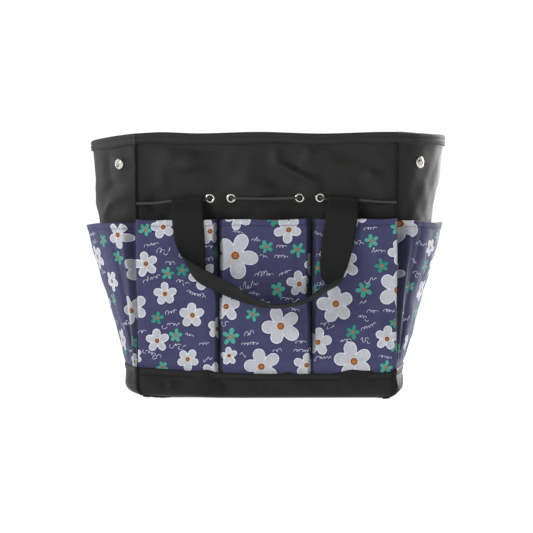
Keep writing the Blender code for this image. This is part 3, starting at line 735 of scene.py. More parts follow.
def loop_columns():
    """Around the bag: list of (kind, side, parameter). Starts at the front's left end and goes counter-clockwise seen from above."""
    cols = []
    for k in range(NF):
        cols.append(("flat", -1, gathered(k, NF)))
    cols += [("corner", (1, -1), t) for t in PIN_T]
    for k in range(NG):
        cols.append(("gusset", 1, gathered(k, NG)))
    cols += [("corner", (1, 1), t) for t in PIN_T]
    for k in range(NF):
        cols.append(("flat", 1, -gathered(k, NF)))
    cols += [("corner", (-1, 1), t) for t in PIN_T]
    for k in range(NG):
        cols.append(("gusset", -1, -gathered(k, NG)))
    cols += [("corner", (-1, -1), t) for t in PIN_T]
    return cols


COLS = loop_columns()
INSET = 0.0007     # panels and gussets stop this far short of the true corner, where the seam ridge stands


def rim_heights():
    """Height change of the rim for every column, in metres."""
    out = np.zeros(len(COLS))
    for j, (kind, side, t) in enumerate(COLS):
        if kind == "flat":
            out[j] = float(through(np.array(RIM_FRONT if side < 0 else RIM_BACK) * 0.001, t * 0.1355))
        elif kind == "gusset":
            out[j] = (-0.0030 if side < 0 else 0.0003) * (1 - t * t) - 0.0005 + 0.0004 * math.sin(t * 5 + side)
        else:
            out[j] = -0.0006
    k = np.exp(-0.5 * (np.arange(-5, 6) / 2.0) ** 2)
    return np.convolve(np.r_[out[-5:], out, out[:5]], k / k.sum(), "valid")


RIM_DZ = rim_heights()


def body_surface(zs, off=0.0, relief=True, pin=PIN):
    """Outer face of the body: (rows, columns, 3) and flat coordinates in mm."""
    zs = np.asarray(zs, float)
    P = np.zeros((len(zs), len(COLS), 3))
    F = np.zeros((len(zs), len(COLS), 2))
    # the seam's ridge stands proud above the pockets and lies flat behind them
    stand = pin * (0.25 + 0.75 * (smooth(0.180, 0.188, zs) + 1 - smooth(0.030, 0.036, zs)))
    for j, (kind, side, t) in enumerate(COLS):
        if kind == "flat":
            x = t * (half_w(zs) - INSET)
            y = side * (half_d(zs) + off)
            if relief:
                y = y + side * panel_relief(side, x, zs)
            P[:, j] = np.stack([x, y, zs], -1)
            F[:, j, 0] = x * 1000 * (-side) + (0 if side < 0 else 900)
        elif kind == "gusset":
            s = np.full_like(zs, t) * (1 - INSET / half_d(zs))
            half = 95.0
            o = off + (gusset_relief(side, t * half, zs * 1000, half) if relief else 0)
            x, y = gusset_xy(side, s, zs, o)
            P[:, j] = np.stack([x, y, zs], -1)
            F[:, j, 0] = t * half * side + (300 if side > 0 else 600)
        else:
            sx, sy = side
            w = (1 - abs(2 * t - 1) ** 3)
            wave = 0.00035 * np.sin(zs * 130 + sx) + 0.0002 * np.sin(zs * 310 + sy)
            P[:, j, 0] = sx * (half_w(zs) + 0.30 * (off + stand * w) + wave * w)
            P[:, j, 1] = sy * (half_d(zs) + 0.92 * (off + stand * w))
            P[:, j, 2] = zs
            order = sx * sy < 0        # going from a flat to a gusset
            spread = (t - 0.5) * 2 * 0.00055
            if order:
                P[:, j, 0] += sx * min(spread, 0) + sx * max(spread, 0)
            else:
                P[:, j, 0] -= sx * spread
            F[:, j, 0] = 140 + 2 * t
        F[:, j, 1] = zs * 1000
    P[:, :, 2] += smooth(0.21, H, zs)[:, None] * RIM_DZ[None]
    return P, F


def body_painted_shade(P):
    """Painted shade on the body's colour: darkening of the creases by the corner seams, of the cloth below the eyelets
    and behind the pockets' mouths, of the gussets beside the panels and of the cloth under the rim.
    """
    x, y, z = P[..., 0], P[..., 1], P[..., 2]
    near = np.abs(np.abs(x) - half_w(z)) * 1000
    on_flat = np.abs(np.abs(y) - half_d(z)) < 0.004
    outer = np.where(np.abs(x) > half_w(z) + 0.0007, 0.35, 1.0)
    seam = 1.15 * outer * np.exp(-((near - 1.0) / 0.95) ** 2) * on_flat + 0.22 * np.exp(-(near / 4.0) ** 2) * on_flat
    low = 0.31 * (1 - smooth(0.200, 0.222, z)) + 0.32 * (1 - smooth(0.184, 0.196, z))
    side_in = np.clip((half_d(z) - np.abs(y)) * 1000, 0, 99)
    gus = 0.45 * np.exp(-(side_in / 9.0) ** 2) * (np.abs(x) > half_w(z) - 0.0005) * smooth(0.250, 0.215, z)
    under_rim = 0.35 * smooth(H - 0.0150, H - 0.0118, z)
    return np.clip(seam + low + gus + under_rim, 0, 0.93)


body_z = np.r_[np.linspace(0.0022, 0.010, 6), np.linspace(0.013, 0.180, 60), np.linspace(0.182, H - 0.0016, 56)]
P, F = body_surface(body_z)
painted_dark = body_painted_shade(P)
round_base(P)
body = sheet_solid("body_cloth", P, WALL, CLOTH, F, {"painted_shade": painted_dark}, wrap=True, inner_mat=LINING)
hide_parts("front_panel", "back_panel", "left_gusset", "right_gusset")
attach(body, "bag")


def surface_row(z, off, relief=True, pin=PIN):
    """Points and outward normals around the body at height z (one number, or one per column)."""
    zz = np.broadcast_to(np.asarray(z, float), (len(COLS),))
    rows = np.linspace(zz.min() - 0.001, zz.max() + 0.001, 9)
    G, _ = body_surface(rows, off, relief, pin)
    out = np.zeros((len(COLS), 3))
    for c in range(3):
        for j in range(len(COLS)):
            out[j, c] = np.interp(zz[j], rows, G[:, j, c])
    t = np.roll(out, -1, 0) - np.roll(out, 1, 0)
    n = np.cross(t, [0, 0, 1.0])
    n /= np.linalg.norm(n, axis=1, keepdims=True)
    return out, n


IDX = np.arange(len(COLS))
KIND = np.array([c[0] for c in COLS])

# ------------------------------------------------------------------ rim binding: one puffed tape folded over the edge
C, N = surface_row(H - 0.0058, 0.0, True, pin=0.0009)
C = C.copy()
kern = np.exp(-0.5 * (np.arange(-6, 7) / 2.2) ** 2)
for c in (0, 1):
    N[:, c] = np.convolve(np.r_[N[-6:, c], N[:, c], N[:6, c]], kern / kern.sum(), "valid")
N /= np.linalg.norm(N, axis=1, keepdims=True)
low_wave = 0.0006 * np.sin(IDX * 0.21) + 0.0004 * np.sin(IDX * 0.083 + 1)
C[:, 2] = H - 0.0058 + RIM_DZ
up = np.tile([0, 0, 1.0], (len(C), 1))
along = np.cross(up, N)
frames = np.stack([along, N, up], 1)
B_OUT = [(-5.9, 0.35), (-5.75, 1.05), (-5.0, 1.45), (-4.2, 1.10), (-3.4, 1.52), (-1.8, 1.70), (-0.3, 1.60), (0.55, 1.15), (1.3, 1.55), (2.8, 1.72), (4.2, 1.45), (5.1, 0.95), (5.55, 0.1)]
B_IN = [(5.5, -0.9), (5.0, -2.0), (4.0, -2.6), (2.0, -2.9), (0.0, -2.75), (-2.2, -2.95), (-4.0, -2.5), (-5.3, -2.65), (-5.6, -2.3), (-5.5, -1.75)]
prof = np.array([(o, h) for h, o in B_OUT + B_IN]) * MM
prof_n = np.repeat(prof[None], len(C), 0)
prof_n[:, :4, 1] += low_wave[:, None]
binding = tube_along("rim_tape", C, prof_n, TAPE, True, frames=frames)
# painted shade on the rim tape: darker in the grooves along both stitch rows and at its lower fold, and on its inner
# side
groove = np.array([0.55 * math.exp(-((h - 0.55) / 0.7) ** 2) + 0.55 * math.exp(-((h + 4.2) / 0.7) ** 2) + 0.35 * math.exp(-((h + 5.9) / 0.5) ** 2) for o, h in [(b_, a_) for a_, b_ in B_OUT]] + [0.3] * len(B_IN))
put(binding.data, "painted_shade", np.tile(groove, len(C)))
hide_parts("rim_binding_front", "rim_binding_back", "rim_binding_left", "rim_binding_right")
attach(binding, "bag")


def closed_row(pts, nrm):
    return np.vstack([pts, pts[:1]]), np.vstack([nrm, nrm[:1]])


stitches("rim_stitching", [closed_row(C + up * h * MM + N * o * MM, N) for h, o in ((0.62, 1.16), (-4.25, 1.12))]
         + [closed_row(C + up * h * MM - N * o * MM, -N) for h, o in ((0.0, 2.75), (-4.2, 2.50))], THREAD)

# ------------------------------------------------------------------ base: rounded bottom and its wide band
BAND_FRONT = [(-135, 32.4), (-95, 29.6), (-55, 27.3), (0, 25.7), (65, 25.5), (110, 26.0), (135, 27.6)]   # x, height of the upper edge, mm


def band_top(j):
    """Upper edge of the base band: it dips between the corners."""
    kind, side, t = COLS[j]
    if kind == "flat":
        if side < 0:
            return float(through(np.array(BAND_FRONT) * 0.001, t * 0.134))
        return 0.0262 + 0.0058 * abs(t) ** 2.2
    if kind == "gusset":
        return 0.0325 + 0.0015 * (1 - t * t) if side < 0 else 0.0300 + 0.0030 * (1 - t * t)
    return 0.0315


tops = np.array([band_top(j) for j in range(len(COLS))])
k = np.exp(-0.5 * (np.arange(-6, 7) / 2.5) ** 2); k /= k.sum()
tops = np.convolve(np.r_[tops[-6:], tops, tops[:6]], k, "valid")


def band_height(side, x):
    """Upper edge of the band on the front (side -1) or back at x, in metres."""
    pick = [j for j in IDX if KIND[j] == "flat" and COLS[j][1] == side]
    xs = np.array([COLS[j][2] * 0.1335 for j in pick])
    o = np.argsort(xs)
    return np.interp(x, xs[o], tops[pick][o])


#  share of the height, distance out in mm
BAND_LINE = [(0.0, 1.5), (0.03, 1.9), (0.07, 2.3), (0.12, 2.6), (0.2, 2.8), (0.3, 2.85), (0.4, 2.75), (0.5, 2.6), (0.6, 2.35), (0.68, 2.1), (0.735, 1.95),
             (0.75, 1.50), (0.765, 1.95), (0.80, 2.15), (0.86, 2.4), (0.92, 2.45), (0.96, 2.3), (0.985, 1.95), (1.0, 1.4)]
U_ALONG = np.r_[0, np.cumsum(np.linalg.norm(np.diff(surface_row(0.02, 0.0, False)[0], axis=0), axis=1))] * 1000
Pb = np.zeros((len(BAND_LINE) + 3, len(COLS), 3))
Fb = np.zeros((len(BAND_LINE) + 3, len(COLS), 2))
for i, (f_, drop) in enumerate(BAND_LINE):
    z = 0.0022 + f_ * (tops - 0.0022)
    pts, nn = surface_row(z, 0.0, False, pin=PIN * 0.75)
    body_f = math.sin(PI * min(1.0, f_ * 1.2))
    puff = (0.0011 * ripple(U_ALONG, z * 1000, 31, ((80, 1.0), (40, 0.6), (20, 0.3)))
            + ridge(U_ALONG, z * 1000, [(28, 4), (34, 10), (32, 18)], 3.0, 0.0012) - ridge(U_ALONG, z * 1000, [(24, 4), (28, 12), (26, 20)], 2.5, 0.0012)
            - ridge(U_ALONG, z * 1000, [(131, 4), (134, 9), (133, 16)], 2.5, 0.0010)) * body_f
    Pb[i + 3] = pts + nn * (drop * MM + puff)[:, None]
    Fb[i + 3, :, 0] = U_ALONG
    Fb[i + 3, :, 1] = z * 1000
first, nn = Pb[3].copy(), surface_row(0.006, 0.0, False)[1]
for i, (back, down) in enumerate(((6.0, 2.2), (3.4, 2.0), (1.3, 1.2))):
    q = first - nn * back * MM
    q[:, 2] = first[:, 2] - down * MM
    Pb[i] = q
    Fb[i, :, 0] = U_ALONG
    Fb[i, :, 1] = -back
# painted shade on the base band: darker by the corner seams, along the folded line, at the upper edge and towards the
# floor
band_painted_shade = np.zeros(Pb.shape[:2])
zrow = Pb[:, :, 2] * 1000
near = np.abs(np.abs(Pb[:, :, 0]) - half_w(Pb[:, :, 2])) * 1000
flat_part = (KIND != "gusset")[None] & True
band_painted_shade += 1.0 * np.exp(-((near - 0.9) / 0.9) ** 2) * flat_part
band_painted_shade += 0.80 * np.exp(-((np.array([0.0] * 3 + [b[0] for b in BAND_LINE]) - 0.75) / 0.022) ** 2)[:, None]
band_painted_shade += 0.45 * (np.array([0.0] * 3 + [b[0] for b in BAND_LINE]) > 0.99)[:, None]
band_painted_shade += 0.25 * (1 - smooth(0, 5, zrow))
round_base(Pb)
Pb[:, :, 2] = np.maximum(Pb[:, :, 2], 0.0)
band = sheet_solid("base_band_cloth", Pb, 0.0009, BAND, Fb, {"painted_shade": np.clip(band_painted_shade, 0, 0.9)}, wrap=True, inner_mat=BAND)
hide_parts("base_band_front", "base_band_back", "base_band_left", "base_band_right")
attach(band, "bag")
row_i = 3 + 11
nb = grid_normals(Pb, True)
stitches("band_stitching", [closed_row(Pb[row_i] + nb[row_i] * 0.00005, nb[row_i])], THREAD)

# bottom cloth
ring0 = Pb[0] * 1.0
rings = []
for s_, dz in ((1.004, 0.0), (1.0, -0.0002), (0.985, -0.0004), (0.9, -0.0004), (0.6, -0.0003), (0.3, -0.0003)):
    q = ring0.copy()
    q[:, 0] *= s_
    q[:, 1] *= s_
    q[:, 2] = np.maximum(0.0, (ring0[:, 2] - 0.0003) * (1 if s_ > 0.97 else 0.0) + dz * 0) if s_ > 0.97 else 0.0
    rings.append(q)
verts = [r for r in rings] + [np.array([[0, 0, 0.0]])]
inner = [r + np.array([0, 0, 0.0016]) for r in rings] + [np.array([[0, 0, 0.0016]])]
n_c = len(COLS)
V = np.concatenate([np.concatenate(verts), np.concatenate(inner)])
half_n = n_c * len(rings) + 1
faces = []
for r in range(len(rings) - 1):
    for j in range(n_c):
        a, b, c, d = r * n_c + j, r * n_c + (j + 1) % n_c, (r + 1) * n_c + (j + 1) % n_c, (r + 1) * n_c + j
        faces.append((a, d, c, b))
        faces.append((a + half_n, b + half_n, c + half_n, d + half_n))
r = len(rings) - 1
for j in range(n_c):
    faces.append((r * n_c + j, half_n - 1, r * n_c + (j + 1) % n_c))
    faces.append((r * n_c + j + half_n, r * n_c + (j + 1) % n_c + half_n, 2 * half_n - 1))
    faces.append((j, (j + 1) % n_c, (j + 1) % n_c + half_n, j + half_n))
bottom = new_object("bottom_cloth", V, faces, BAND)
put(bottom.data, "fab", np.column_stack([V[:, 0] * 1000, V[:, 1] * 1000, 0 * V[:, 0]]))
put_uv(bottom.data, V[:, :2] * 10)
fix_outward(bottom)
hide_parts("base_panel")
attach(bottom, "bag")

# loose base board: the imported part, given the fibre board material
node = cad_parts["base_board"]
for s_ in node.material_slots:
    s_.material = BOARD


# ------------------------------------------------------------------ the print: daisies, small blossoms and pen scribbles
class Print:
    """Flowers and scribbles in one flat piece of cloth, in mm."""

    def __init__(self, seed):
        self.rng = np.random.default_rng(seed)
        self.big, self.small, self.marks = [], [], []

    def daisy(self, u, v, r, angle=None):
        a0 = self.rng.uniform(0, 2 * PI) if angle is None else math.radians(angle)
        petals = [(a0 + 2 * PI * k / 5 + self.rng.uniform(-0.07, 0.07), self.rng.uniform(0.93, 1.05), self.rng.uniform(0.94, 1.08)) for k in range(5)]
        shift = (self.rng.uniform(-0.06, 0.06) * r, self.rng.uniform(-0.06, 0.06) * r)
        self.big.append((u, v, r, petals, shift))

    def blossom(self, u, v, r, angle=None):
        a0 = self.rng.uniform(0, 2 * PI) if angle is None else math.radians(angle)
        petals = [(a0 + 2 * PI * k / 5 + self.rng.uniform(-0.12, 0.12), self.rng.uniform(0.9, 1.1), self.rng.uniform(0.9, 1.15)) for k in range(5)]
        self.small.append((u, v, r, petals))

    @staticmethod
    def flower_sdf(U, V, u, v, r, petals, mid, semi, wide, hub):
        d = np.hypot(U - u, V - v) - hub * r
        for a, length, width in petals:
            c, s = math.cos(a), math.sin(a)
            x = (U - u) * c + (V - v) * s - mid * r * length
            y = -(U - u) * s + (V - v) * c
            A, B = semi * r * length, wide * r * width
            # petals are a little broader towards the tip
            B = B * (1 + 0.16 * np.clip(x / A, -1, 1))
            q = np.sqrt((x / A) ** 2 + (y / B) ** 2)
            g = np.sqrt((x / A ** 2) ** 2 + (y / B ** 2) ** 2) + 1e-9
            e = q * (q - 1) / g
            e = np.maximum(e, -np.minimum(A, B))
            d = np.minimum(d, e)
        return d

    def fill_marks(self, u0, u1, v0, v1, want, clear=0.8):
        """Places scribbled words where they don't touch each other or a flower's middle."""
        tries = 0
        while len(self.marks) < want and tries < 5000:
            tries += 1
            L = self.rng.uniform(7.5, 20) if tries < 2500 else self.rng.uniform(6, 10)
            a = math.radians(self.rng.normal(-3, 12))
            u, v = self.rng.uniform(u0 + 2, u1 - 2), self.rng.uniform(v0 + 4, v1 - 4)
            ends = [u + k * L / 2 * math.cos(a) for k in (-1, 1)]
            if min(ends) < u0 + 1.5 or max(ends) > u1 - 1.5:
                continue
            ok = True
            for t in np.linspace(-L / 2, L / 2, 7):
                x, y = u + t * math.cos(a), v + t * math.sin(a)
                if any(math.hypot(x - f[0], y - f[1]) < f[2] * 0.92 + 1.6 + clear for f in self.big) or \
                        any(math.hypot(x - f[0], y - f[1]) < f[2] * 0.9 + 1.2 + clear for f in self.small) or \
                        any(math.hypot(x - m[0] - t2 * m[2] * math.cos(m[3]), y - m[1] - t2 * m[2] * math.sin(m[3])) < 6.6 for m in self.marks for t2 in (-0.5, -0.25, 0, 0.25, 0.5)):
                    ok = False
                    break
            if ok:
                self.marks.append((u, v, L, a))

    def strokes(self):
        """Pen lines of every scribble: loops and humps that are no letters, as (n, 2) arrays."""
        out = []
        for (u, v, L, a) in self.marks:
            rng = self.rng
            turns = max(2, int(L / rng.uniform(2.5, 3.3)))
            step = L / turns
            xs, ys = [], []
            kind = rng.integers(0, 4)
            for k in range(turns):
                tall = rng.random()
                A = rng.uniform(2.0, 2.9)
                if tall > 0.86:
                    A = rng.uniform(4.0, 5.4)
                elif tall < 0.10:
                    A = -rng.uniform(2.2, 3.6)
                curl = step / (2 * PI) * (rng.uniform(1.6, 3.4) if rng.random() < 0.62 else rng.uniform(-1.2, 0.6))
                t = np.linspace(0, 2 * PI, 15, endpoint=False)
                skew = 0.20 * A * (1 - np.cos(t)) / 2
                xs.append(-L / 2 + step * (k + t / (2 * PI)) - curl * np.sin(t) + skew)
                ys.append(A * (1 - np.cos(t)) / 2 - 1.2)
            x, y = np.concatenate(xs), np.concatenate(ys)
            ker = np.array([0.25, 0.5, 0.25])
            x = np.r_[x[0], np.convolve(x, ker, "valid"), x[-1]]
            y = np.r_[y[0], np.convolve(y, ker, "valid"), y[-1]] + 0.25 * np.sin(x * 0.5 + kind)
            cuts = [0] + sorted(int(c) * 15 for c in rng.choice(np.arange(1, turns), size=min(turns - 1, 1 + int(L > 13)), replace=False)) + [len(x)] if turns > 3 else [0, len(x)]
            for c0, c1 in zip(cuts[:-1], cuts[1:]):
                if c1 - c0 < 8:
                    continue
                xx, yy = x[c0:c1 - 2], y[c0:c1 - 2]
                out.append(np.column_stack([u + xx * math.cos(a) - yy * math.sin(a), v + xx * math.sin(a) + yy * math.cos(a)]))
        return out

    def attributes(self, F):
        """Per-point attributes for flat coordinates F (rows, cols, 2) in mm."""
        U, V = F[..., 0], F[..., 1]
        edge = np.full(U.shape, 9.0)
        centre = np.full(U.shape, 9.0)
        stripe = np.zeros(U.shape)
        for (u, v, r, petals, shift) in self.big:
            m = np.hypot(U - u, V - v) < r * 1.25 + 4
            if not m.any():
                continue
            d = self.flower_sdf(U[m], V[m], u, v, r, petals, 0.575, 0.455, 0.335, 0.36)
            better = d < edge[m]
            e = edge[m]; e[better] = d[better]; edge[m] = e
            c = centre[m]; dc = np.hypot(U[m] - u - shift[0], V[m] - v - shift[1]) - max(1.5, 0.17 * r + 0.35); c = np.minimum(c, dc); centre[m] = c
            st = stripe[m]; ang = np.arctan2(V[m] - v, U[m] - u); st[better] = (ang * 6)[better]; stripe[m] = st
        se = np.full(U.shape, 9.0)
        sc = np.full(U.shape, 9.0)
        tone = np.zeros(U.shape)
        for (u, v, r, petals) in self.small:
            m = np.hypot(U - u, V - v) < r * 1.3 + 4
            if not m.any():
                continue
            d = self.flower_sdf(U[m], V[m], u, v, r, petals, 0.60, 0.43, 0.27, 0.26)
            se[m] = np.minimum(se[m], d)
            sc[m] = np.minimum(sc[m], np.hypot(U[m] - u, V[m] - v) - max(1.15, 0.24 * r))
            tone[m] = 0.5 + 0.5 * math.sin(u * 1.7 + v)
        return {"flowers": np.stack([edge, centre, stripe], -1), "small_flowers": np.stack([se, sc, tone], -1)}


def ink_lines(name, strokes, P, F, sign):
    """The scribbles as very thin raised lines lying on the cloth surface P with flat coordinates F."""
    n = grid_normals(P, False) * sign
    vs = F[:, 0, 1]
    verts, faces = [], []
    base = 0
    for st in strokes:
        d = np.gradient(st, axis=0)
        d /= np.maximum(np.hypot(*d.T), 1e-9)[:, None]
        side = np.column_stack([-d[:, 1], d[:, 0]])
        w = 0.31 * np.clip(np.minimum(np.arange(len(st)) + 0.6, len(st) - np.arange(len(st)) - 0.4) / 2.0, 0.3, 1)
        w = w * (1 + 0.18 * np.sin(np.arange(len(st)) * 0.7 + st[0, 0]))
        ring = []
        for off_, lift in ((-1, -0.03), (0, 0.085), (1, -0.03)):
            q = st + side * (w * off_)[:, None]
            i = np.clip(np.interp(q[:, 1], vs, np.arange(len(vs))), 0, len(vs) - 1.001)
            i0 = i.astype(int)
            fi = i - i0
            pts = np.zeros((len(q), 3))
            for k in range(len(q)):
                r0, r1 = F[i0[k], :, 0], F[i0[k] + 1, :, 0]
                row = r0 + (r1 - r0) * fi[k]
                j = np.clip(np.interp(q[k, 0], row, np.arange(len(row))), 0, len(row) - 1.001)
                j0 = int(j)
                fj = j - j0
                c = [(1 - fi[k]) * (1 - fj), (1 - fi[k]) * fj, fi[k] * (1 - fj), fi[k] * fj]
                cells = [(i0[k], j0), (i0[k], j0 + 1), (i0[k] + 1, j0), (i0[k] + 1, j0 + 1)]
                pts[k] = sum(cc * (P[ab] + n[ab] * lift * MM) for cc, ab in zip(c, cells))
            ring.append(pts)
        V = np.stack(ring, 1).reshape(-1, 3)
        m = len(st)
        idx = base + np.arange(m * 3).reshape(m, 3)
        kk = np.arange(3)
        faces += np.stack([idx[:-1][:, kk], idx[:-1][:, (kk + 1) % 3], idx[1:][:, (kk + 1) % 3], idx[1:][:, kk]], -1).reshape(-1, 4).tolist()
        faces += [idx[0, ::-1].tolist(), idx[-1].tolist()]
        verts.append(V)
        base += m * 3
    obj = new_object(name, np.concatenate(verts), faces, INK)
    fix_outward(obj)
    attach(obj, "bag")
    return obj


# flowers on the front pockets: across from the bag's middle, height, radius (mm) and turn (degrees)
DAISIES = {
    "left": [(-106.7, 178.6, 12.6, 34), (-124.3, 139.2, 12.6, 32), (-104.4, 108.8, 11.8, 20), (-65.3, 127.6, 14.5, 46), (-58.2, 172.6, 13.4, 28), (-137.8, 95.6, 15.2, 36),
             (-77.1, 86.6, 13.2, 18), (-113.0, 60.6, 11.8, 20), (-49.8, 73.0, 11.4, 8), (-81.6, 40.8, 11.7, 54), (-137.6, 45.0, 8.6, 36), (-56.0, 26.4, 11.8, 66)],
    "centre": [(-29.8, 188.7, 14.0, 44), (-31.9, 148.0, 22.8, 66), (22.4, 175.4, 14.2, 52), (33.4, 118.6, 12.6, 24), (-41.8, 95.6, 14.8, 14), (-39.4, 44.4, 9.4, 24), (14.4, 75.2, 19.9, 38), (-4.8, 33.9, 18.5, 32), (40.6, 34.6, 12.7, 12),
               (50.0, 139.0, 11.5, 40)],
    "right": [(80.6, 138.7, 14.6, 37), (71.2, 97.2, 18.5, 28), (90.2, 190.0, 14.0, 49), (134.4, 112.8, 20.6, 0), (138.0, 150.6, 13.2, 36), (52.0, 58.4, 14.4, 12), (88.6, 39.3, 19.6, 30), (123.6, 62.4, 12.4, 10)],
}
BLOSSOMS = {
    "left": [(-124.5, 175.2, 6.8, 60), (-102.0, 129.6, 6.7, 8), (-86.6, 133.2, 6.7, 8), (-112.7, 84.0, 6.8, 8), (-93.8, 65.8, 6.8, 12), (-107.9, 33.2, 6.4, 44), (-48.8, 150.0, 6.4, 20)],
    "centre": [(0.2, 156.8, 7.3, 36), (7.8, 186.2, 8.0, 40), (31.8, 153.4, 7.5, 58), (11.8, 112.6, 7.6, 6), (-14.3, 87.4, 7.2, 0), (-37.5, 64.4, 8.6, 12)],
    "right": [(108.0, 162.8, 7.4, 34), (118.2, 136.6, 7.2, 32), (100.3, 112.4, 8.4, 46), (88.4, 68.7, 7.1, 68), (122.8, 31.8, 7.2, 6), (53.0, 134.6, 7.0, 20), (48.9, 111.9, 6.0, 0),
              (134.6, 175.5, 7.0, 20), (130.4, 77.6, 5.4, 0), (131.2, 54.6, 6.4, 30)],
}
# flowers on the side pockets: distance from the front corner seam along the cloth, height, radius, turn
SIDE_LEFT = ([(15.6, 170, 13.4, 52), (60.5, 147, 13, 66), (36.0, 121.8, 10.6, 54), (7.2, 92, 14.6, 66), (37.0, 60, 11.5, 36), (70.0, 96, 12, 12), (64, 60, 10, 40), (-4.2, 134, 15.5, 36), (5.5, 38, 8.6, 30)],
             [(40.5, 165, 7, 50), (20.0, 146.5, 7.0, 42), (41.5, 102, 6.8, 46), (7.0, 58.6, 7.2, 10), (33.0, 48.5, 6.4, 20)])
SIDE_RIGHT = ([(2.6, 180.4, 20.0, 41), (47.6, 156, 9.2, 60), (-5.0, 128.5, 12.6, 0), (51.5, 109.8, 11.5, 64), (29.0, 56.5, 9.5, 70), (66.0, 136, 11, 20), (62.0, 80, 11, 30)],
              [(45.6, 136, 7.4, 56), (20.2, 114.8, 6.8, 40), (7.0, 49.6, 7.2, 50), (47.0, 87, 6.6, 30), (62.0, 168, 6.6, 48)])

# ------------------------------------------------------------------ flat pockets
def pocket_depth(z):
    t = np.clip((z - POCKET_Z0) / (POCKET_Z1 - POCKET_Z0), 0, 1)
    return 0.007 + 0.007 * t


HEM = 0.0062
RISE = 0.0011      # the pockets' mouths stand this much above their nominal height


